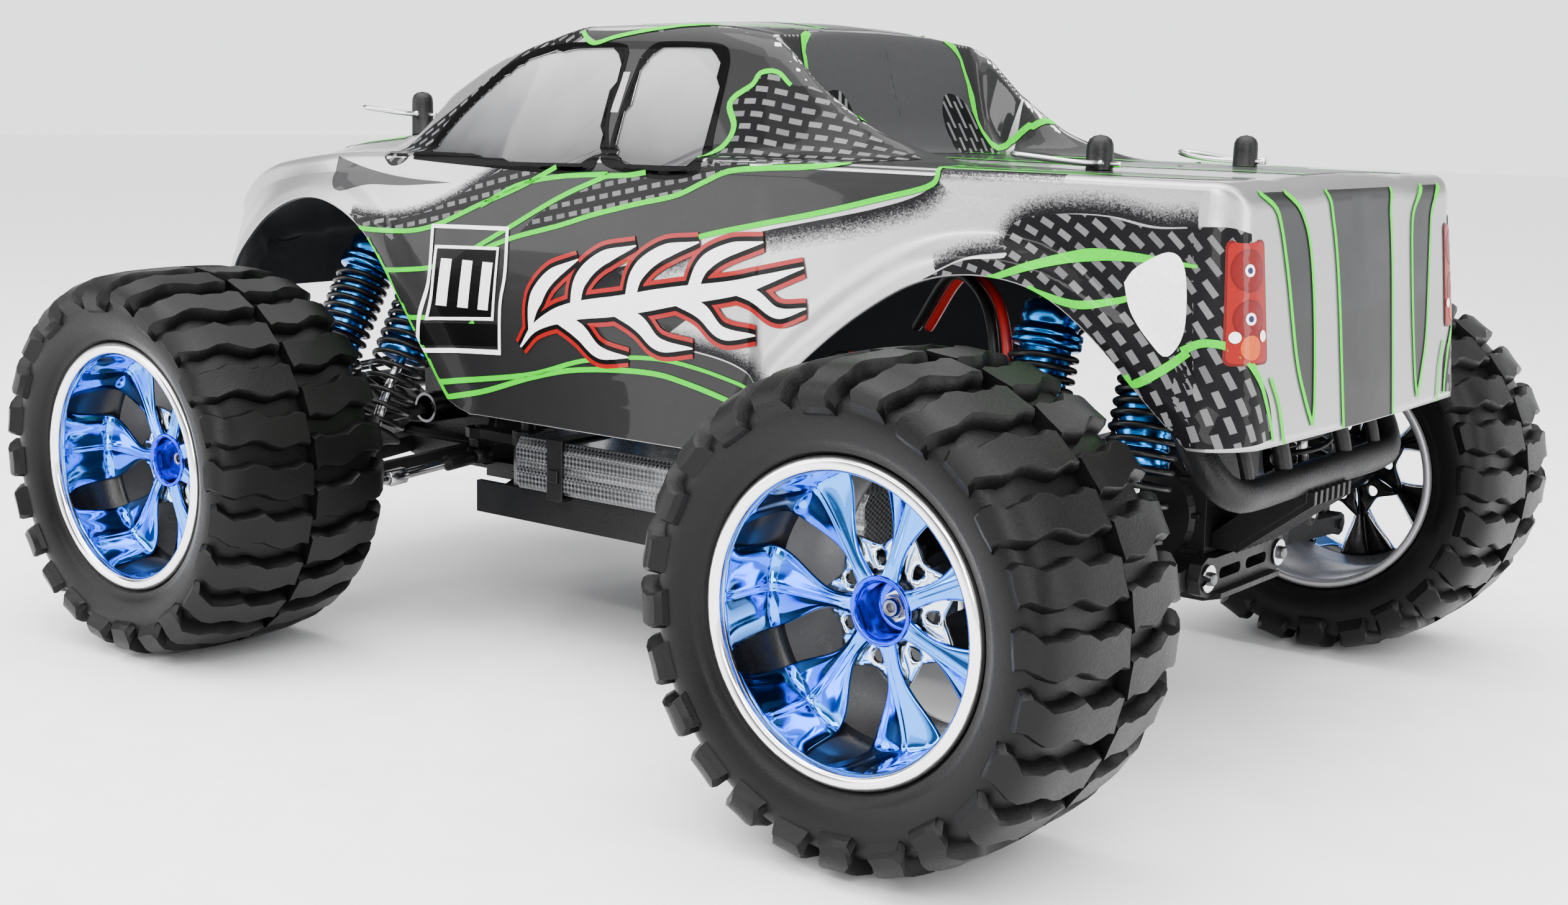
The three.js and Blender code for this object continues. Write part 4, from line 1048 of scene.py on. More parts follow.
def print_top(p):
    """The prints seen from above: bed stripes, cab panel, roof and bonnet."""
    stripe_edges = {"inner": [(-62, 40), (-100, 42), (-150, 45), (-188, 49)],
                    "outer": [(-113, 67), (-140, 66), (-170, 66), (-186, 62)]}
    band = joined(top(stripe_edges["inner"]), top([(-188, 49), (-189, 56), (-186, 62)]),
                  top(list(reversed(stripe_edges["outer"]))), top([(-113, 67), (-100, 66), (-84, 60),
            (-62, 57), (-62, 40)]))
    p.patch("charcoal", band, CHARCOAL)
    middle = joined(top([(-57, 0), (-57, 26)]), top([(-57, 26), (-100, 25), (-150, 23), (-190, 22)]),
                    top([(-190, 22), (-190, 0)]), centre(-190, -57))
    p.patch("charcoal", middle, CHARCOAL)
    panel = joined(top([(-39, 0), (-39, 36), (-42, 42)]), top([(-42, 42), (-50, 44), (-57, 47), (-62, 40)]),
                   top([(-62, 40), (-60, 20), (-60, 0)]), centre(-60, -39))
    p.patch("smoke", panel, CHARCOAL + 0.1, spacing=1.0)
    shoulder = joined(top([(-39, 36), (-42, 42), (-50, 44), (-57, 47)]), top([(-57, 47), (-62, 57)]),
                      top([(-62, 57), (-48, 54), (-36, 47), (-33, 36)]), top([(-33, 36), (-39, 36)]))
    p.patch("charcoal", shoulder, CHARCOAL, spacing=1.0)
    oval = [(-45.5, 31), (-47, 41), (-52, 45.5), (-60, 42), (-62, 33), (-60, 26), (-53, 23), (-47, 25)]
    p.patch("dashes", joined(SKIN.top(spline(oval, 1.0, closed=True))), DASH, layout=level_dashes(0, 0.8))
    roof = joined(top([(44, 0), (42, 22), (32, 30)]), top([(32, 30), (0, 27), (-37, 24)]),
                  top([(-37, 24), (-37, 0)]), centre(-37, 44))
    p.patch("charcoal", roof, CHARCOAL)
    hood = joined(top([(112, 0), (114, 20)]), top([(114, 20), (140, 17), (170, 10), (192, 0)]),
                  centre(192, 112))
    p.patch("charcoal", hood, CHARCOAL)
    horn = joined(top([(116, 30), (118, 52)]), top([(118, 52), (145, 47), (168, 38), (186, 27)]),
                  top([(186, 27), (160, 28), (138, 30), (116, 30)]))
    p.patch("charcoal", horn, CHARCOAL)
    lines = [top(stripe_edges["inner"]), top(stripe_edges["outer"]),
             top([(-57, 26), (-100, 25), (-150, 23), (-190, 22)]),
             top([(-39, 36), (-42, 42), (-50, 44), (-57, 47), (-72, 52)]),
             top([(32, 30), (0, 27), (-37, 24)]), top([(114, 20), (140, 17), (170, 10), (192, 0)]),
             top([(118, 52), (145, 47), (168, 38), (186, 27)]),
             top([(186, 27), (160, 28), (138, 30), (116, 30)])]
    for run in lines:
        p.stripe("green_line", dense(run), LINE, PIN)
    for x, y in ((FRONT_X - 10.5, 44), (REAR_X + 2.9, 44)):
        ring = [(x + 4.2 * math.cos(a), y + 4.2 * math.sin(a)) for a in np.linspace(0, math.tau, 25)[:-1]]
        p.patch("window_frames", joined(SKIN.top(ring)), PIN, spacing=1.0)


def print_tail(p):
    def fill(ink, *runs, lift=CHARCOAL, mirrored=False):
        p.rays(ink, strokes(*runs, step=1.2)[:-1], tail_ray, lift, spacing=1.1, mirrored=mirrored)

    left = [(60, 157.5), (52, 152), (48.5, 140), (44.5, 117), (40, 106), (36, 99)]
    right = [(36, 99), (34.5, 106), (33.5, 126), (34.5, 144), (38, 152), (46, 157.5)]
    fill("charcoal", left, right, [(46, 157.5), (60, 157.5)], mirrored=True)
    bar = [(22, 157.5), (19.6, 151), (18.2, 130), (17.6, 112), (17, 95.6)]
    fill("charcoal", bar, [(17, 95.6), (-17, 95.6)], [(-y, z) for y, z in reversed(bar)],
         [(-22, 157.5), (22, 157.5)])
    for run in (left, right, bar):
        p.ray_stripe("green_line", spline(run, 1.4), LINE, tail_ray, PIN)
    p.ray_stripe("green_line", spline([(0.5, 119.6), (6, 122), (13, 120), (19, 112), (23, 103),
                                       (24.5, 97.5)], 1.2), (2.0, 1.8, 1.2), corner_ray, PIN)
    p.ray_stripe("green_line", spline([(24, 113), (28, 106), (30.5, 96)], 1.2), LINE, corner_ray, PIN)


def nose_ray(y, z):
    return (NOSE_X + 40, y, z), (-1, 0, 0)


def print_nose(p):
    """A barred grille and two headlights, all printed."""
    def fill(ink, points, lift, mirrored=True):
        p.rays(ink, strokes(*([a, b] for a, b in zip(points, points[1:] + points[:1])), step=1.5)[:-1],
               nose_ray, lift, mirrored=mirrored)

    fill("window_frames", [(-25, 118.6), (-21, 107), (21, 107), (25, 118.6)], CHARCOAL, mirrored=False)
    for z in (109.4, 112.3, 115.2):
        p.ray_stripe("pale_patch", [(y, z) for y in np.linspace(-20.5, 20.5, 28)], 0.9, nose_ray, DASH,
                     mirrored=False)
    fill("window_frames", [(28.6, 118.8), (26.4, 108.6), (38, 108.4), (42.5, 112), (42, 118)], CHARCOAL)
    fill("lamp_glass", [(29.9, 117.8), (28, 109.8), (37.6, 109.6), (41.2, 112.6), (40.8, 117)], DASH)
    for y, radius in ((32.6, 2.9), (38.2, 2.2)):
        disc = [(y + radius * math.cos(a), 113.6 + radius * math.sin(a))
                for a in np.linspace(0, math.tau, 25)[:-1]]
        p.rays("white_flash", disc, nose_ray, FRAME, spacing=1.0)


LAMP = (10, 21.8, 117.2, 146)


def print_lamps(p):
    s0, s1, z0, z1 = LAMP
    middle = (s0 + s1) / 2

    def box(grow):
        a, b, c, d = s0 - grow, s1 + grow, z0 - grow, z1 + grow
        r = 1.6
        points = []
        for cx, cz, turn in ((b - r, d - r, 0), (a + r, d - r, 90), (a + r, c + r, 180),
                             (b - r, c + r, 270)):
            points += [(cx + r * math.cos(math.radians(turn + k)),
                        cz + r * math.sin(math.radians(turn + k))) for k in (0, 30, 60, 90)]
        return points

    def disc(cz, radius, cs=middle):
        return [(cs + radius * math.cos(a), cz + radius * math.sin(a))
                for a in np.linspace(0, math.tau, 29)[:-1]]

    def lay(ink, outline, lift, holes=(), spacing=1.5):
        p.rays(ink, outline, corner_ray, lift, holes, layout=lambda s, z: (s, z), spacing=spacing)

    lay("lamp_edge", box(0.55), DASH + 0.08)
    lay("lamp_red", box(0), DASH + 0.16)
    for cz, radius in ((z1 - 6.7, 5.2), (z1 - 18.2, 4.6)):
        lay("lamp_edge", disc(cz, radius), DASH + 0.22, [disc(cz, radius - 0.5)], 0.9)
        lay("lamp_deep", disc(cz, radius - 0.5), DASH + 0.22)
        lay("white_flash", disc(cz, 1.5), DASH + 0.3, [disc(cz, 0.8)], 0.7)
        lay("lamp_core", disc(cz, 0.8), DASH + 0.3, spacing=0.7)
    lay("lamp_amber", [(middle + 2.8 * math.cos(a), z0 + 3.7 + 3.0 * math.sin(a))
                       for a in np.linspace(0, math.tau, 25)[:-1]], DASH + 0.24, spacing=1.0)
    for cs in (s0 + 1.9, s1 - 1.9):
        lay("white_flash", disc(z0 + 6.3, 1.4, cs), DASH + 0.34, spacing=0.8)


def print_stickers(p):
    frame_outer = side([(77, 135.5), (43, 136.5)], [(43, 136.5), (43.5, 122), (45.5, 112), (46, 96.5)],
                       [(46, 96.5), (80.5, 94.5)], [(80.5, 94.5), (79.5, 107), (77.5, 120),
                                                    (77, 135.5)])[:-1]
    frame_inner = side([(75.8, 134.3), (44.3, 135.2)], [(44.3, 135.2), (44.8, 122), (46.7, 112),
                                                        (47.2, 98)], [(47.2, 98), (79, 96)],
                       [(79, 96), (78.2, 107), (76.3, 120), (75.8, 134.3)])[:-1]
    p.patch("white_flash", frame_outer, STICKER, [frame_inner], spacing=0.9)
    plate = side([(74, 128), (48, 129)], [(48, 129), (50, 108)], [(50, 108), (76, 106)],
                 [(76, 106), (74, 128)])[:-1]
    plate_edge = side([(75, 129), (47, 130)], [(47, 130), (49, 107)], [(49, 107), (77, 105)],
                      [(77, 105), (75, 129)])[:-1]
    p.patch("white_flash", plate_edge, STICKER, [plate], spacing=0.9)
    p.patch("black_ink", plate, STICKER, spacing=2)
    for shift in (0, 9, 18):
        bar = side([(72 - shift, 125), (67.5 - shift, 125)], [(67.5 - shift, 125), (69.5 - shift, 110)],
                   [(69.5 - shift, 110), (74 - shift, 110)], [(74 - shift, 110), (72 - shift, 125)])[:-1]
        p.patch("white_flash", bar, STICKER + 0.08, spacing=1.5)
    band = side([(78.2, 104), (47.4, 106)], [(47.4, 106), (47.4, 99)], [(47.4, 99), (78.6, 97)],
                [(78.6, 97), (78.2, 104)])[:-1]
    p.patch("black_ink", band, STICKER, spacing=2)

    # A flame-like flourish of tapered hooks: white, edged in black and then red.
    hooks = [
        ([(37, 100), (30, 107), (16, 112.5), (-4, 116), (-26, 120.5), (-50, 125), (-73, 132)],
         (0.6, 5, 6, 6, 5, 4, 0.5)),
        ([(33, 105), (31, 114), (25, 122), (13, 128.5)], (1, 5.5, 4, 0.4)),
        ([(14, 113), (12, 122), (4, 129), (-10, 134)], (4, 5, 4, 0.4)),
        ([(-8, 117), (-11, 126), (-20, 132.5), (-34, 136.5)], (4, 5, 4, 0.4)),
        ([(-32, 122), (-36, 130), (-45, 135), (-58, 138)], (4, 4.6, 3.4, 0.4)),
        ([(22, 111), (12, 107), (4, 101.5), (-8, 101)], (4, 5, 3.6, 0.4)),
        ([(-2, 115), (-12, 111.5), (-20, 106), (-33, 106)], (4, 5, 3.6, 0.4)),
        ([(-26, 120), (-36, 117), (-44, 111.5), (-57, 112)], (4, 4.6, 3.4, 0.4)),
        ([(-48, 124.5), (-57, 122.5), (-65, 119), (-75, 121)], (3.6, 4, 3, 0.4)),
    ]
    for grow, ink, lift in ((5.4, "red_ink", 0), (2.8, "black_ink", 0.07), (0, "white_flash", 0.14)):
        for n, (run, width) in enumerate(hooks):
            p.stripe(ink, dense(side(run)), tuple(w + grow for w in width), STICKER + lift + n * 0.005)


def build_body():
    """The painted shell, thickened inwards, and the prints laid on it."""
    whole = body_mesh()
    inner = painted("body_inside", (0.018, 0.02, 0.023), 0.5, bump=0.15, grain=500, specular=0.2)
    shell = whole.build("body_shell_skin", [pearl_paint(), inner], weld=0.012)
    tree = BVHTree.FromPolygons([v.co / MM for v in shell.data.vertices],
                                [tuple(f.vertices) for f in shell.data.polygons])
    prints = Prints(tree)
    print_sides(prints)
    print_windows(prints)
    print_top(prints)
    print_tail(prints)
    print_nose(prints)
    print_lamps(prints)
    print_stickers(prints)
    thick = shell.modifiers.new("thickness", "SOLIDIFY")
    thick.thickness = BODY_SKIN * MM
    thick.offset = -1
    thick.material_offset = 1
    thick.material_offset_rim = 1
    finish_piece(shell, "body_shell", ["body_shell"])
    prints.build({
        "charcoal": gloss_paint("charcoal_paint", (0.012, 0.012, 0.0124), gloss=0.8),
        "dashes": dash_print(),
        "window_frames": gloss_paint("black_paint", (0.001, 0.001, 0.001), gloss=0.25),
        "window_glass": clear_pane(),
        "green_line": gloss_paint("green_paint", (0.006, 0.5, 0.0), gloss=0.4),
        "white_flash": gloss_paint("white_paint", (0.86, 0.86, 0.86)),
        "pale_patch": gloss_paint("pale_paint", (0.32, 0.3, 0.3)),
        "red_ink": gloss_paint("red_paint", (0.24, 0.002, 0.002)),
        "black_ink": gloss_paint("sticker_black", (0.002, 0.002, 0.002), gloss=0.4),
        "sprayed_edge": airbrush("sprayed_black"),
        "smoke": gloss_paint("smoke_paint", (0.03, 0.03, 0.031)),
        "lamp_red": gloss_paint("lamp_red_print", (0.2, 0.002, 0.001)),
        "lamp_deep": gloss_paint("lamp_ring_print", (0.12, 0.001, 0.001)),
        "lamp_edge": gloss_paint("lamp_edge_print", (0.09, 0.002, 0.001)),
        "lamp_core": gloss_paint("lamp_core_print", (0.01, 0.012, 0.05)),
        "lamp_glass": gloss_paint("lamp_glass_print", (0.35, 0.37, 0.4)),
        "lamp_amber": gloss_paint("lamp_amber_print", (0.42, 0.06, 0.002)),
    })


# ---------------------------------------------------------------- wheels

SPOKES = 7
LUGS = 24


def wheel_matrix(corner, outward=True):
    """Stands a wheel made around Z on its axle, with +Z facing out, or both sides facing left."""
    x, hand = CORNERS[corner]
    turn = Matrix.Rotation(math.radians(-90 if hand > 0 or not outward else 90), 4, "X")
    return Matrix.Translation(Vector((x, hand * TRACK, AXLE_Z)) * MM) @ turn


def copies(pattern, name, replaced=(), outward=True):
    """One piece for each wheel, all from one mesh."""
    for corner in CORNERS:
        thing = bpy.data.objects.new(f"{name}_{corner}", pattern.data)
        bpy.context.scene.collection.objects.link(thing)
        for modifier in pattern.modifiers:
            mine = thing.modifiers.new(modifier.name, modifier.type)
            for key in modifier.bl_rna.properties.keys():
                if not modifier.bl_rna.properties[key].is_readonly:
                    setattr(mine, key, getattr(modifier, key))
        thing.matrix_world = wheel_matrix(corner, outward)
        finish_piece(thing, f"wheel_{corner}", [f"{n}_{corner}" for n in replaced])
    bpy.data.objects.remove(pattern)


def tyre_lug(long_end):
    """One wavy bar from the tread's middle over the shoulder: (points, faces) around angle 0."""
    crown = [(60.5, 0.7), (60.5, 3.5), (60.45, 7), (60.35, 10.5), (60.2, 14), (60.0, 17.5), (59.6, 21),
             (59.0, 24.5), (58.0, 27.4), (56.6, 29.8), (54.8, 31.4), (52.6, 32.3)]
    crown += [(50.2, 32.5), (48.8, 31.2)] if long_end else [(51.4, 31.2)]
    root = [(55.6, 0.7), (55.6, 3.5), (55.5, 7), (55.4, 10.5), (55.3, 14), (55.0, 17.5), (54.6, 21),
            (53.8, 24), (52.6, 26), (51.4, 27.4), (50.2, 28.4), (49.0, 28.8)]
    root += [(48.0, 28.8), (47.6, 28.8)] if long_end else [(48.4, 28.8)]
    points, rows = [], len(crown)
    for i, ((r, h), (r0, h0)) in enumerate(zip(crown, root)):
        u = i / (rows - 1)
        sweep = 5.5 * u
        wave = 1.15 * math.sin(math.tau * u * 2.6 + 0.6)
        ripple = 0.5 * math.sin(math.tau * u * 5.3)
        half = 5.0 - 0.7 * u + (0.5 if u > 0.72 else 0)
        left, right = sweep - half + wave, sweep + half + wave * 0.8 + ripple
        for share, c in ((0, left - 0.9), (0.8, left - 0.15), (1, left + 0.6), (1, (left + right) / 2),
                         (1, right - 0.6), (0.8, right + 0.15), (0, right + 0.9)):
            radius, height = r0 + (r - r0) * share, h0 + (h - h0) * share
            sag = 0.25 if c == (left + right) / 2 else 0
            a = c / 60
            points.append(((radius - sag) * math.cos(a), (radius - sag) * math.sin(a), height))
    n = 7
    faces = [(i * n + k, i * n + k + 1, (i + 1) * n + k + 1, (i + 1) * n + k)
             for i in range(rows - 1) for k in range(n - 1)]
    faces.append(tuple(range(n)))
    faces.append(tuple(range((rows - 1) * n, rows * n))[::-1])
    return points, [tuple(reversed(f)) for f in faces]


def build_tyres():
    """One lugged tyre, repeated at the four corners."""
    shape = Shape()
    outer = [(38.7, 25.0), (39.6, 26.6), (41.2, 27.2), (41.8, 27.9), (44.0, 29.0), (47.0, 29.8),
             (50.0, 29.6), (52.6, 28.2), (54.6, 25.4), (55.8, 21), (56.3, 14), (56.5, 7)]
    profile = spline(outer + [(56.6, 0)] + [(r, -h) for r, h in reversed(outer)], 1.6)
    inner = [(37.4, -24), (37.5, -19), (48, -20), (53, -8), (53, 8), (48, 20), (37.5, 19), (37.4, 24)]
    points, faces = lathe(profile + inner, 96, closed=True)
    shape.add(points, faces)
    for i in range(LUGS):
        lug = tyre_lug(i % 2 == 0)
        turn = math.tau * i / LUGS
        shape.add(*lug, matrix=Matrix.Rotation(turn, 4, "Z"))
        shape.add(*lug, matrix=Matrix.Rotation(turn + math.pi / LUGS, 4,
                                               "Z") @ Matrix.Diagonal((1, 1, -1, 1)))
    n = Nodes("tyre_rubber_black")
    fine, clouds = n.noise(1400, 3), n.noise(35, 4)
    n.set(Base_Color=n.blend(n.span(clouds, 0, 1), (0.0012, 0.0012, 0.0012, 1), (0.003, 0.0029, 0.0028, 1)))
    n.set(Roughness=n.span(n.maths("ADD", fine, clouds), 0.34, 0.5, 0.7, 1.3), Specular_IOR_Level=0.15)
    n.bump(fine, 0.25, 0.0003)
    pattern = shape.build("tyre_pattern", [n.material])
    crisp(pattern, 0.3, 40, 1)
    copies(pattern, "tread_tyre", ["tyre"], outward=False)


SPOKE_PATH = [(8.0, 9.9), (10.5, 9.4), (14, 8.9), (18, 8.3), (22, 7.8), (26, 7.4), (29.5, 7.3), (32.4, 7.6),
              (33.9, 8.6), (34.5, 10.6), (34.75, 14), (34.85, 18), (34.9, 21.5), (34.95, 24.4)]
SPOKE_HALF = [3.0, 2.5, 2.3, 2.9, 4.5, 6.6, 8.5, 9.9, 10.5, 10.8, 11.2, 11.7, 12.5, 14.2]


def rim_spoke():
    """One petal: (points, faces) of its front skin, around angle 0."""
    path = spline([(*p, w) for p, w in zip(SPOKE_PATH, SPOKE_HALF)], 1.0)
    points = []
    for i, (r, h, half) in enumerate(path):
        a, b = path[max(i - 1, 0)], path[min(i + 1, len(path) - 1)]
        length = math.hypot(b[0] - a[0], b[1] - a[1])
        out_r, out_h = -(b[1] - a[1]) / length, (b[0] - a[0]) / length
        rib = min(0.95, half * 0.33)
        rise = 0.75 * min(1, i / 4) * min(1, (len(path) - 1 - i) / 3)
        for c, lift in ((-half, -1.0), (-half + 0.5, -0.3), (-half * 0.62, 0.0), (-rib - 0.45, -0.05),
                        (-rib, rise), (-rib * 0.45, rise * 0.55), (rib * 0.45, rise * 0.55), (rib, rise),
                        (rib + 0.45, -0.05), (half * 0.62, 0.0), (half - 0.5, -0.3), (half, -1.0)):
            radius = r + out_r * lift
            angle = c / r
            points.append((radius * math.cos(angle), radius * math.sin(angle), h + out_h * lift))
    n = 12
    rows = len(path)
    return points, [(i * n + k, (i + 1) * n + k, (i + 1) * n + k + 1, i * n + k + 1)
                    for i in range(rows - 1) for k in range(n - 1)]


def build_rims():
    """One plated rim, repeated at the four corners."""
    chrome = painted("chrome_lip", (0.93, 0.93, 0.94), 0.12, metallic=1.0, bump=0.02, vary=0.03)
    blue = painted("blue_chrome", (0.03, 0.27, 1.0), 0.1, metallic=1.0, bump=0.02, vary=0.12, cloud=25,
                   coat=0.6)
    black = painted("rim_plastic_black", (0.006, 0.006, 0.0065), 0.3, bump=0.1, specular=0.25)
    silver = painted("rim_plastic_silver", (0.3, 0.3, 0.31), 0.32, metallic=0.7, bump=0.1)
    steel = painted("wheel_nut_steel", (0.2, 0.2, 0.21), 0.28, metallic=1.0, bump=0.2, grain=1600)

    barrel = Shape()
    lip = spline([(36.1, 23.4), (35.0, 23.9), (34.7, 25.3), (35.3, 26.8), (36.6, 27.4), (38.0, 27.0),
                  (38.7, 25.7), (38.3, 24.3), (37.2, 23.6)], 0.7)
    barrel.add(*lathe(lip, 96), slot=0)
    wall = [(37.2, 23.6), (37.2, -23.8), (38.4, -24.4), (38.6, -26.2), (37.4, -27), (36.0, -26.4),
            (35.8, -24.6)]
    barrel.add(*lathe(wall, 96), slot=2)
    barrel.add(*lathe([(35.8, -24.6), (35.7, 4.0), (33.0, 5.2)], 96), slot=2)
    barrel.add(*lathe([(33.0, 5.2), (35.7, 5.4), (36.1, 23.4)], 96), slot=1)
    pattern = barrel.build("barrel_pattern", [chrome, black, silver], weld=0.01)
    copies(pattern, "rim_barrel", ["rim"])

    spokes = Shape()
    for k in range(SPOKES):
        spokes.add(*rim_spoke(), matrix=Matrix.Rotation(math.tau * k / SPOKES, 4, "Z"))
    pattern = spokes.build("spoke_pattern", [blue, black, chrome])
    thick = pattern.modifiers.new("thickness", "SOLIDIFY")
    thick.thickness, thick.offset = 1.5 * MM, -1
    thick.material_offset, thick.material_offset_rim = 1, 2
    copies(pattern, "rim_spokes")

    webs = Shape()
    for k in range(SPOKES):
        middle = math.tau * (k + 0.5) / SPOKES
        outline = []
        for t in np.linspace(-1, 1, 13):
            r = 15.2 + 4.2 * abs(t) ** 1.6
            a = middle + t * (math.pi / SPOKES - 1.2 / r)
            outline.append((r * math.cos(a), r * math.sin(a)))
        for t in np.linspace(1, -1, 7):
            a = middle + t * (math.pi / SPOKES - 0.12)
            outline.append((8.6 * math.cos(a), 8.6 * math.sin(a)))
        hole = []
        for b in np.linspace(0, math.tau, 21)[:-1]:
            r, c = 12.3 + 1.9 * math.cos(b), 1.5 * math.sin(b) * (1 + 0.25 * math.cos(b))
            a = middle + c / 12.3
            hole.append((r * math.cos(a), r * math.sin(a)))
        flat, faces = triangles(outline, 1.2, [hole])
        dish = [(x, y, 6.9 - 0.9 * smooth((math.hypot(x, y) - 9) / 8)) for x, y in flat]
        webs.add(dish, [tuple(f) for f in faces])
    pattern = webs.build("web_pattern", [painted("web_chrome", (0.75, 0.85, 0.95), 0.1, metallic=1.0,
                                                 bump=0.05, grain=500, vary=0.1), black])
    thick = pattern.modifiers.new("thickness", "SOLIDIFY")
    thick.thickness, thick.offset, thick.material_offset = 1.3 * MM, -1, 1
    copies(pattern, "rim_webs")

    hub = Shape()
    cup = [(8.4, 9.2), (8.5, 10.0), (8.1, 10.5), (7.4, 10.3), (7.0, 9.2), (6.7, 5), (6.5, 1.6), (5.8, 0.8),
           (3.2, 0.6)]
    hub.add(*lathe(cup[::-1], 48), slot=0)
    hub.add(*lathe([(3.2, 0.6), (3.2, -3.4), (8.8, -3.4), (9.4, 2), (8.4, 9.2)][::-1], 48), slot=1)
    # The hub's blue chrome is a darker, more violet copy of the spokes' blue: painted shade for how the
    # hub's faces turn from the light.
    pattern = hub.build("hub_pattern", [painted("blue_chrome_hub_painted_shade", (0.015, 0.05, 0.75), 0.12, metallic=1.0,
                                                bump=0.02), black])
    copies(pattern, "rim_hub")

    nut = Shape()
    hexagon = [(math.cos(math.tau * k / 6) * 3.0, math.sin(math.tau * k / 6) * 3.0) for k in range(6)]
    nut.add([(x, y, h) for h in (1.5, 4.6) for x, y in hexagon],
            [tuple(range(6))[::-1], tuple(range(6, 12))] + [(k, (k + 1) % 6, (k + 1) % 6 + 6, k + 6)
                                                            for k in range(6)])
    nut.add(*lathe([(0, 0.9), (4.4, 0.9), (4.4, 1.6), (3.4, 2.0), (0, 2.0)][::-1], 32))
    nut.add(*lathe([(1.0, 4.2), (1.0, 5.8), (1.9, 6.1), (2.2, 5.6), (2.2, 4.2)][::-1], 24))
    pattern = nut.build("nut_pattern", [steel])
    crisp(pattern, 0.25)
    copies(pattern, "wheel_nut")


# ---------------------------------------------------------------- suspension, bumpers and chassis

# (y, z) outlines, extruded along X
ACROSS_X = Matrix(((0, 0, 1, 0), (1, 0, 0, 0), (0, 1, 0, 0), (0, 0, 0, 1)))
# (x, z) outlines, extruded along Y
ACROSS_Y = Matrix(((1, 0, 0, 0), (0, 0, 1, 0), (0, 1, 0, 0), (0, 0, 0, 1)))
SHOCK_U = 17
SHOCK_TOP = (38.5, 128)
SHOCK_FOOT = {"f": (79, 53.4), "r": (60, 56.4)}
ARM_REACH = Vector((77.4, -5.4))
HINGE_PIN = (22.6, 51.4)
POSTS = {"f": (-10.5, 44, 174.4), "r": (2.9, 44, 167.5)}  # x from the axle, y, top


def prism(outline, low, high, holes=()):
    """A flat plate with holes, from low to high along Z."""
    flat, faces = triangles(outline, 60, holes)
    n = len(flat)
    points = [(x, y, low) for x, y in flat] + [(x, y, high) for x, y in flat]
    made = [tuple(f)[::-1] for f in faces] + [tuple(i + n for i in f) for f in faces]
    for loop, outer in [(outline, True)] + [(h, False) for h in holes]:
        area = sum(a[0] * b[1] - b[0] * a[1] for a, b in zip(loop, list(loop[1:]) + [loop[0]]))
        loop = list(loop) if (area > 0) == outer else list(loop)[::-1]
        start, m = len(points), len(loop)
        points += [(x, y, low) for x, y in loop] + [(x, y, high) for x, y in loop]
        made += [(start + i, start + (i + 1) % m, start + m + (i + 1) % m, start + m + i) for i in range(m)]
    return points, made


def capsule(a0, a1, b, radius, steps=8):
    """A slot outline with round ends at (a0, b) and (a1, b)."""
    turn = np.linspace(-math.pi / 2, math.pi / 2, steps)
    return [(a1 + radius * math.cos(t), b + radius * math.sin(t)) for t in turn] + \
        [(a0 - radius * math.cos(t), b - radius * math.sin(t)) for t in turn]


def rod(shape, start, end, radius, slot=0, segments=20, chamfer=0.25):
    """A turned bar with small chamfers."""
    length = (Vector(end) - Vector(start)).length
    c = min(chamfer, radius / 3)
    profile = [(0, 0), (radius - c, 0), (radius, c), (radius, length - c), (radius - c, length),
               (0, length)]
    shape.add(*lathe(profile, segments), slot=slot, matrix=aim(start, end))


def ring(shape, start, end, radius, bore, slot=0, segments=24):
    length = (Vector(end) - Vector(start)).length
    shape.add(*lathe([(bore, 0), (radius, 0), (radius, length), (bore, length)], segments, closed=True),
              slot=slot, matrix=aim(start, end))


def screw(shape, at, direction, radius=2.6, slot=0):
    """A button head with a hexagonal socket, standing on a face."""
    profile = [(radius, 0), (radius, 0.5), (radius * 0.86, 1.2), (radius * 0.55, 1.6), (radius * 0.5, 0.5),
               (0, 0.5)]
    shape.add(*lathe(profile, 18), slot=slot, matrix=aim(at, Vector(at) + Vector(direction)))


def e_clip(shape, at, direction, clip_slot, pin_slot):
    """A hinge pin's end with its spring clip."""
    here = aim(at, Vector(at) + Vector(direction))
    shape.add(*lathe([(0, -0.4), (1.9, -0.4), (1.9, 2.0), (1.5, 2.5), (0, 2.5)], 20), slot=pin_slot,
              matrix=here)
    shape.add(*lathe([(1.9, 0.3), (3.9, 0.3), (3.9, 0.9), (1.9, 0.9)], 24, True, (0.4, math.tau - 0.4)),
              slot=clip_slot, matrix=here)


def on_shock(corner, distance, u=0.0):
    x, hand = CORNERS[corner]
    (v0, z0), (v1, z1) = SHOCK_TOP, SHOCK_FOOT[corner[0]]
    share = distance / math.hypot(v1 - v0, z1 - z0)
    return Vector((x + u, hand * (v0 + (v1 - v0) * share), z0 + (z1 - z0) * share))


def shock_length(corner):
    (v0, z0), (v1, z1) = SHOCK_TOP, SHOCK_FOOT[corner[0]]
    return math.hypot(v1 - v0, z1 - z0)


def coil(start, end, radius, wire, turns):
    """A coil spring, tight at the start and wider further on."""
    start, end = Vector(start), Vector(end)
    along = (end - start).normalized()
    side = Vector((1, 0, 0))
    up = along.cross(side)
    length = (end - start).length
    steps = int(turns * 22)
    path = []
    for i in range(steps + 1):
        t = i / steps
        a = math.tau * turns * t
        rise = wire + (length - 2 * wire) * (0.78 * t + 0.22 * t ** 3)
        path.append(start + along * rise + (side * math.cos(a) + up * math.sin(a)) * radius)
    return tube(path, wire, 8)


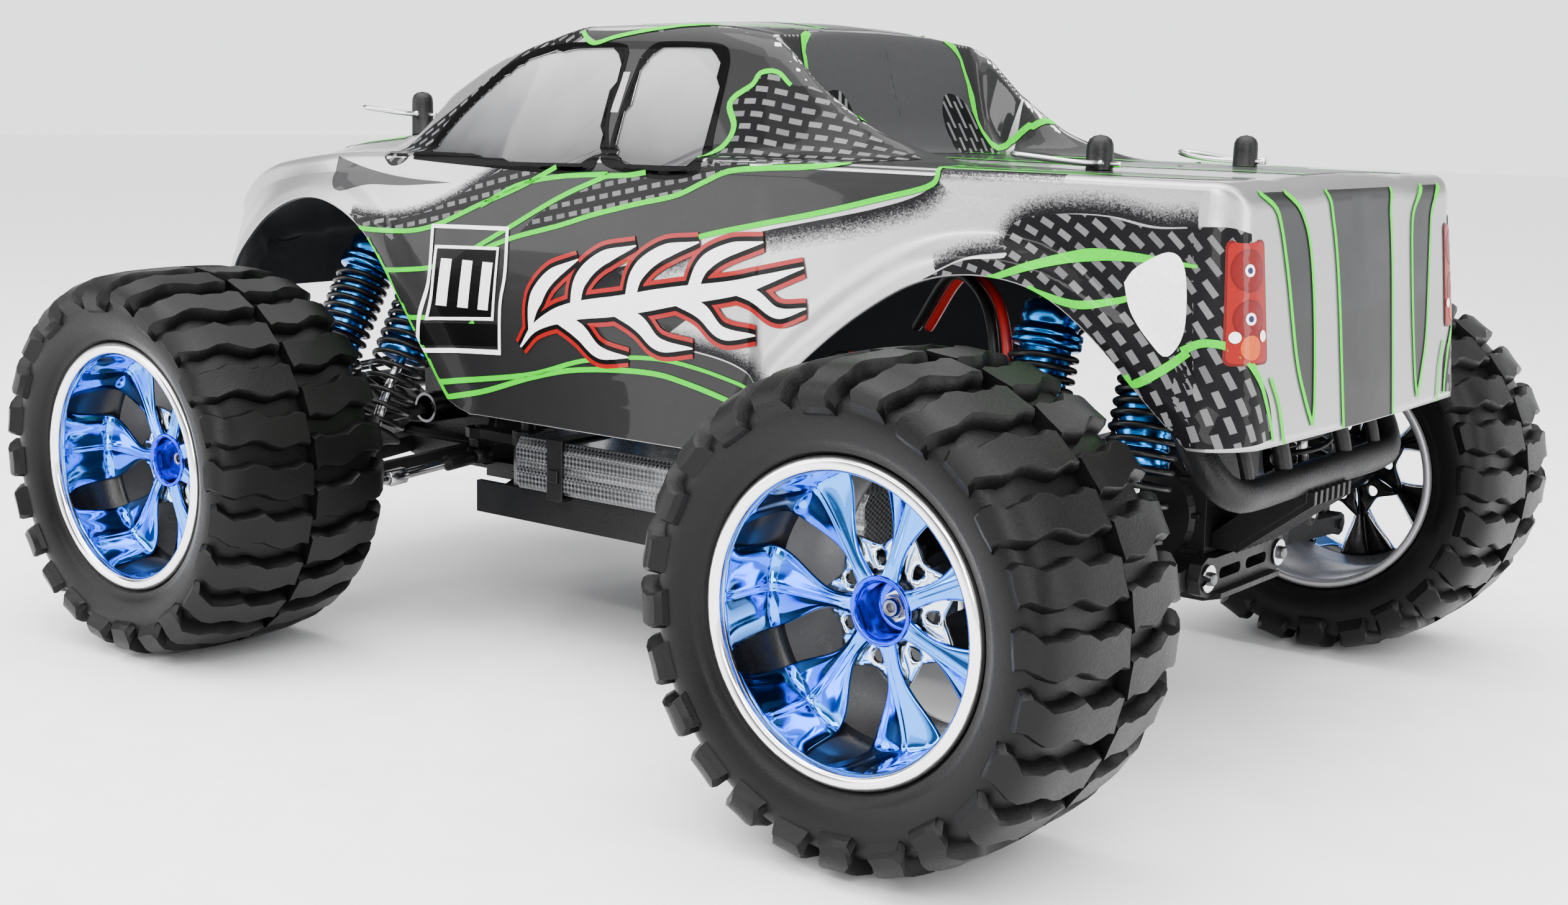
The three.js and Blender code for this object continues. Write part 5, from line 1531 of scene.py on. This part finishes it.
def build_shocks(blue, black, steel):
    enamel = painted("spring_enamel", (0.004, 0.004, 0.0045), 0.38, coat=0.1, bump=0.03, specular=0.2)
    for corner in CORNERS:
        foot = shock_length(corner)
        bodies, rods, springs = Shape(), Shape(), Shape()
        for u in (-SHOCK_U, SHOCK_U):
            here = aim(on_shock(corner, 0, u), on_shock(corner, foot, u))
            threads = [(7.5 if k % 2 else 7.05, 17 + k * 0.6) for k in range(39)]
            barrel = [(0, 3.2), (4.6, 3.2), (7.2, 4.2), (8.4, 5.6), (8.4, 9.6), (7.9, 10.2), (7.9, 11.4),
                      (8.6, 11.6), (9.7, 12), (9.7, 13.3), (9.2, 13.7), (9.7, 14.1), (9.7, 15.6),
                      (9.2, 16.2), (7.2, 16.4)]
            barrel += threads + [(7.2, 40.6), (7.9, 41), (7.9, 45.4), (7.3, 46), (1.9, 46)]
            bodies.add(*lathe(barrel, 28), slot=0, matrix=here)
            eye = on_shock(corner, 0, u)
            ring(bodies, eye - Vector((2.6, 0, 0)), eye + Vector((2.6, 0, 0)), 4.5, 1.8, 1)
            rods.add(*lathe([(0, 30), (1.75, 30), (1.75, foot - 6), (0, foot - 6)], 16), slot=0,
                     matrix=here)
            cup = [(1.9, foot - 13.2), (7.6, foot - 13.2), (7.7, foot - 12.4), (9.9, foot - 12.2),
                   (9.9, foot - 11.2), (6.6, foot - 10), (4.4, foot - 8), (3.6, foot - 3), (0, foot - 3)]
            rods.add(*lathe(cup, 28), slot=1, matrix=here)
            eye = on_shock(corner, foot, u)
            ring(rods, eye - Vector((2.6, 0, 0)), eye + Vector((2.6, 0, 0)), 3.9, 1.5, 1)
            springs.add(*coil(on_shock(corner, 16.4, u), on_shock(corner, foot - 12.2, u), 8.9, 0.9,
                              14 if corner[0] == "f" else 12))
        for shape, at, radius in ((bodies, 0, 1.8), (rods, foot, 1.5)):
            ends = [on_shock(corner, at, u) for u in (-SHOCK_U - 3.4, SHOCK_U + 3.4)]
            rod(shape, *ends, radius, slot=2 if shape is bodies else 0)
            for end, way in zip(ends, ((-1, 0, 0), (1, 0, 0))):
                if shape is bodies:
                    screw(shape, end, way, 3.1, 2)
        finish_piece(bodies.build(f"shock_body_{corner}", [blue, black, steel]), f"shock_bodies_{corner}",
                     [f"shock_bodies_{corner}"])
        finish_piece(rods.build(f"shock_rod_{corner}", [steel, black]), f"shock_rods_{corner}",
                     [f"shock_rods_{corner}"])
        spring = springs.build(f"shock_springs_{corner}", [enamel])
        on_shock(corner, 17.5) * MM
        on_shock(corner, foot - 13.2) * MM
        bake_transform(spring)


def build_links(black, steel):
    """Upper links and tie rods: a steel bar with a hexagon between two moulded ends."""
    def link(name, body, start, end, bend, bores):
        start, end = Vector(start), Vector(end)
        way = (end - start).normalized()
        shape = Shape()
        rod(shape, start + way * 9, end - way * 9, 1.7)
        middle = (start + end) / 2
        shape.add(*lathe([(0, 0), (2.5, 0), (2.9, 0.5), (2.9, 7.5), (2.5, 8), (0, 8)], 6),
                  matrix=aim(middle - way * 4, end))
        for at, toward, (outer, bore) in ((start, way, bores[0]), (end, -way, bores[1])):
            ring(shape, at - bend * 2.3, at + bend * 2.3, outer, bore, 1)
            rod(shape, at + toward * (bore + 0.3), at + toward * 16, 2.7, 1)
        finish_piece(shape.build(name, [steel, black]), body, [body])

    for corner, (x, hand) in CORNERS.items():
        facing = 1 if corner[0] == "f" else -1
        u = x + 5 * facing
        start, end = (u, hand * 26, 85), (u, hand * (26 + ARM_REACH.x), 85 + ARM_REACH.y)
        link(f"link_{corner}", f"upper_link_{corner}", start, end, Vector((1, 0, 0)),
             ((4.6, 1.9), (4.6, 1.9)))
        if facing > 0:
            u = x - 24
            start, end = (u, hand * 30.6, 51.4), (u, hand * (30.6 + ARM_REACH.x), 51.4 + ARM_REACH.y)
            link(f"steering_rod_{corner}", f"tie_rod_{corner}", start, end, Vector((0, 0, 1)),
                 ((4.4, 2.6), (5.6, 3.7)))


def build_posts(black, steel):
    for corner, (x, hand) in CORNERS.items():
        dx, y, top = POSTS[corner[0]]
        at = Vector((x + dx, hand * y, 0))
        shape = Shape()
        profile = [(0, 134.5), (3.6, 134.5), (3.6, top - 16.6), (5.8, top - 16.6), (5.8, top - 14.4),
                   (3.6, top - 14.4), (3.6, top - 1.6), (3.45, top + 0.1), (2.9, top + 1.3),
                   (1.8, top + 2.1), (0, top + 2.5)]
        shape.add(*lathe(profile, 28), matrix=Matrix.Translation(at))
        finish_piece(shape.build(f"body_post_{corner}", [black]), "chassis")
        clip = Shape()
        path = [(-6.5, 0, 0), (4, 0, 0), (13, 0.2, 0.4), (20, 1.6, 1.2), (23.6, 4.6, 1.9), (20.6, 7.2, 1.8),
                (14, 6.2, 1.2), (8, 4.7, 0.6), (3, 4.3, 0.3), (-1.5, 5.0, 0.3), (-4, 6.2, 0.4)]
        here = [at + Vector((a, hand * b, top - 5.2 + c)) for a, b, c in path]
        clip.add(*tube(spline(here, 0.8), 0.8, 10))
        finish_piece(clip.build(f"clip_{corner}", [steel]), f"body_clip_{corner}",
                     [f"body_clip_{corner}"])


def build_gearboxes(black, steel, dark):
    for end, x, facing in (("front", FRONT_X, 1), ("rear", REAR_X, -1)):
        place = Matrix.Translation(Vector((x, 0, 0))) @ Matrix.Diagonal((facing, 1, 1, 1))
        shape = Shape()
        case = [(0, -17.6), (16, -17.6), (18.4, -15), (18.4, -1.2), (19.2, -1.2), (19.2, 1.2), (18.4, 1.2),
                (18.4, 15), (16, 17.6), (0, 17.6)]
        shape.add(*lathe(case, 32),
                  matrix=place @ Matrix.Translation((0, 0, 65.9)) @ Matrix.Rotation(-math.pi / 2, 4, "X"))
        shape.add(*block((-17.6, -16.2, 46), (20.3, 16.2, 84.6)), matrix=place)
        shape.add(*lathe([(3.6, -3.6), (7, -3.6), (7, 0), (3.6, 0)], 24, True),
                  matrix=place @ Matrix.Translation((-17.8, 0, 65.9)) @ Matrix.Rotation(math.pi / 2, 4,
                "Y"))
        for z in (56, 66, 76):
            shape.add(*block((-16, -17.2, z), (18.6, 17.2, z + 1.4)), matrix=place)
        skid = [(-34, 47), (-34, 46), (-26, 43.9), (22, 43.9), (27.5, 45.4), (27.5, 47)]
        shape.add(*prism(skid, -19, 19), matrix=place @ ACROSS_Y)
        plate = [(-27.8, 51.4), (-26, 55.6), (-22.6, 57.2), (-18, 56.4), (18, 56.4), (22.6, 57.2),
                 (26, 55.6), (27.8, 51.4), (26, 47.2), (22, 45.8), (-22, 45.8), (-26, 47.2)]
        slots = [capsule(3.2, 13.6, 51.4, 1.5, 6), capsule(-13.6, -3.2, 51.4, 1.5, 6)]
        shape.add(*prism(plate, 21.0, 24.8, slots), matrix=place @ ACROSS_X)
        v, inner = {"front": (30.6, -17.8), "rear": (24, -20.2)}[end]  # the front plate clears the tie rods
        shape.add(*prism(plate, inner, -16.8), matrix=place @ ACROSS_X)
        for s in (-1, 1):
            side = place @ Matrix.Diagonal((1, s, 1, 1))
            pin = Shape()
            rod(pin, (inner, *HINGE_PIN), (25.2, *HINGE_PIN), 1.5, 0)
            shape.add(pin.points, pin.faces, 1, side)
            clip = Shape()
            e_clip(clip, (24.8, *HINGE_PIN), (1, 0, 0), 1, 2)
            for face, slot in zip(clip.faces, clip.slots):
                shape.add([clip.points[i] for i in face], [tuple(range(len(face)))], slot, side)
            cup = [(0, 0), (5.5, 0), (5.5, v + 3.8 - 17), (4.3, v + 3.8 - 17), (4.2, v - 3.6 - 17),
                   (0, v - 3.8 - 17)]
            shape.add(*lathe(cup, 24), 2, side @ aim((0, 17, 65.9), (0, v, 65.9)))
            for u, z in ((-13, 81), (15, 81)):
                head = Shape()
                screw(head, (u, 16.2, z), (0, 1, 0), 2.3)
                shape.add(head.points, head.faces, 1, side)
        thing = shape.build(f"gear_case_{end}", [black, steel, dark], smooth=False, weld=0.01)
        crisp(thing, 0.4)
        finish_piece(thing, "chassis", [f"{end}_gearbox"])


def build_bumpers(black):
    """The front and rear tube bumpers."""
    rear = Shape()
    bar = [(-172, 55, 112), (-179, 58, 98), (-186, 56.5, 86), (-189.4, 50, 81), (-190, 40, 80),
           (-190, 20, 80)]
    bar += [(x, -y, z) for x, y, z in reversed(bar)]
    rear.add(*tube(spline(bar, 3), 4.3, 18))
    rear.add(*tube(spline([(-176, y, 114) for y in (-50, 0, 50)], 8), 3, 12))
    for y in (-42, -20, 20, 42):
        radius = 2.6 if abs(y) == 20 else 2.0
        flat = [(math.cos(a) * 1.25, math.sin(a) * 0.8) for a in np.linspace(0, math.tau, 15)[:-1]]
        rear.add(*tube(spline([(-190, y, 79), (-187.5, y, 90), (-180, y, 108), (-176, y, 115)], 3), radius,
                       section=flat))
    plate = [(-166, 57.6), (-171.6, 57.6), (-193, 74), (-193, 79), (-187, 79), (-166, 62)]
    rear.add(*prism(plate, -12.6, 12.6), matrix=ACROSS_Y)
    for y in np.linspace(-11.4, 11.4, 7):
        ridge = [(-171, 58), (-173.6, 57.2), (-195, 73.6), (-195, 77.4), (-192, 77)]
        rear.add(*prism(ridge, y - 0.85, y + 0.85), matrix=ACROSS_Y)
    front = Shape()
    bar = [(187, 61, 71), (194, 59.5, 67.5), (200, 54, 65), (202, 44, 64), (202, 20, 64)]
    bar += [(x, -y, z) for x, y, z in reversed(bar)]
    front.add(*tube(spline(bar, 3), 4.2, 18))
    plate = [(156.4, 45.4), (189, 50), (202, 60), (202.6, 66), (188, 57.6), (156.4, 53.6)]
    front.add(*prism(plate, -22, 22), matrix=ACROSS_Y)
    for y in np.linspace(-18, 18, 7):
        front.add(*prism([(160, 53), (188, 57), (201.4, 65), (201.4, 66.6), (188, 59.2), (160, 55)], y - 1,
                         y + 1), matrix=ACROSS_Y)
    for s in (-1, 1):
        front.add(*tube([(202, s * 34, 64), (186, s * 27, 57.5), (170, s * 18, 50.5)], 2.8, 14))
    for name, shape in (("rear_bumper", rear), ("front_bumper", front)):
        thing = crisp(shape.build(f"{name}_bar", [black], weld=0.01), 0.3, 40)
        finish_piece(thing, "chassis", [name])


def woven_wrap():
    """Shrink wrap printed with a grey and black weave."""
    n = Nodes("woven_wrap")
    turned = n.add("Mapping", {"Vector": n.place(),
                               "Rotation": (0.0, math.radians(45), 0.0)}).outputs["Vector"]
    cells = n.add("TexChecker", {"Vector": turned, "Scale": 900, "Color1": (0.13, 0.133, 0.14, 1),
                                 "Color2": (0.008, 0.008, 0.009, 1)}).outputs["Color"]
    shade = n.noise(500, 2)
    n.set(Base_Color=n.blend(n.span(shade, 0, 0.6), cells, (0.02, 0.02, 0.022, 1)))
    n.set(Roughness=n.span(shade, 0.25, 0.4), Coat_Weight=0.6, Coat_Roughness=0.08)
    return n.material


WIRE_RADII = (1.5, 0.7)  # of the thick pair, then the thin pair


def build_electrics(black):
    """The battery in its woven wrap, its straps, and two pairs of wires."""
    pack = Shape()
    profile = [(44.4, 51.6), (64.2, 51.6), (65.4, 53), (65.6, 58.6), (64.9, 60), (65.6, 61.4), (65.6, 65.6),
               (63.4, 68.6), (46.4, 68.8), (44.2, 66.4)]
    pack.add(*prism(profile, -86, 52), matrix=ACROSS_X)
    thing = crisp(pack.build("battery_wrap", [woven_wrap()], smooth=False, weld=0.01), 1.2, 30, 3)
    finish_piece(thing, "chassis", ["battery_pack"])
    straps = Shape()
    for x in (-62, 34):
        strap = [(43.4, 50), (66.6, 50), (66.6, 69.8), (43.4, 69.8)]
        gap = [(44.4, 51.2), (65.9, 51.2), (65.9, 68.9), (44.4, 68.9)]
        straps.add(*prism(strap, x - 3.4, x + 3.4, [gap]), matrix=ACROSS_X)
        straps.add(*block((x - 2.2, 66.4, 56), (x + 2.2, 67.6, 60)))
    finish_piece(crisp(straps.build("battery_straps", [black], smooth=False, weld=0.01), 0.3), "chassis")
    red = painted("wire_red", (0.5, 0.012, 0.01), 0.4, bump=0.05)
    lead = painted("wire_black", (0.008, 0.008, 0.008), 0.4, bump=0.05, specular=0.3)
    wires = Shape()
    runs = [((-86, 30, 62), (-104, 38, 72), (-113, 42, 92), (-114, 43, 112), (-106, 38, 125),
             (-88, 26, 128), (-66, 10, 110)), ((-56, 50, 76), (-60, 55, 92), (-66, 57, 104), (-73, 55, 106),
                                               (-75, 51, 99), (-68, 47, 88), (-58, 42, 80))]
    for run, radius in zip(runs, WIRE_RADII):
        for slot, shift in ((0, -radius * 1.05), (1, radius * 1.05)):
            wires.add(*tube(spline([(x + shift, y + shift * 0.6, z) for x, y, z in run], 2), radius, 10),
                      slot=slot)
    finish_piece(wires.build("wiring", [red, lead]), "chassis")


def dress_frame(black, steel, dark):
    """The CAD's own pieces that are shown as they are."""
    case = painted("case_plastic", (0.02, 0.022, 0.026), 0.42, bump=0.12, grain=1100)
    can = painted("motor_can", (0.42, 0.42, 0.44), 0.24, metallic=1.0, bump=0.08, grain=1500)
    looks = {"axle": steel, "driveshaft": dark, "lower_arm": black, "carrier": black, "knuckle": black,
             "bellcrank": black, "drag_link": dark, "front_shock_tower": black, "rear_shock_tower": black,
             "chassis_tray": black, "centre_driveshaft": dark, "motor": can, "speed_controller": case,
             "steering_servo": case}
    for name, node in NODES.items():
        kind = name[:-3] if name[-3:] in ("_fl", "_fr", "_rl", "_rr") else name
        if kind in looks:
            node.data.materials.clear()
            node.data.materials.append(looks[kind])


def build_chassis():
    black = painted("moulded_nylon", (0.005, 0.005, 0.0054), 0.44, bump=0.3, grain=1500, specular=0.22)
    steel = painted("bright_steel", (0.6, 0.6, 0.61), 0.2, metallic=1.0, bump=0.06, grain=900)
    dark = painted("dark_steel", (0.1, 0.1, 0.105), 0.3, metallic=1.0, bump=0.1, grain=900)
    blue = painted("anodised_blue", (0.008, 0.2, 0.62), 0.2, metallic=1.0, bump=0.05, grain=1200, vary=0.08)
    build_shocks(blue, black, steel)
    build_links(black, steel)
    build_posts(black, steel)
    build_gearboxes(black, steel, dark)
    build_bumpers(black)
    build_electrics(black)
    dress_frame(black, steel, dark)


# ---------------------------------------------------------------- the whole truck

add_camera()
add_studio()
build_body()
build_tyres()
build_rims()
build_chassis()
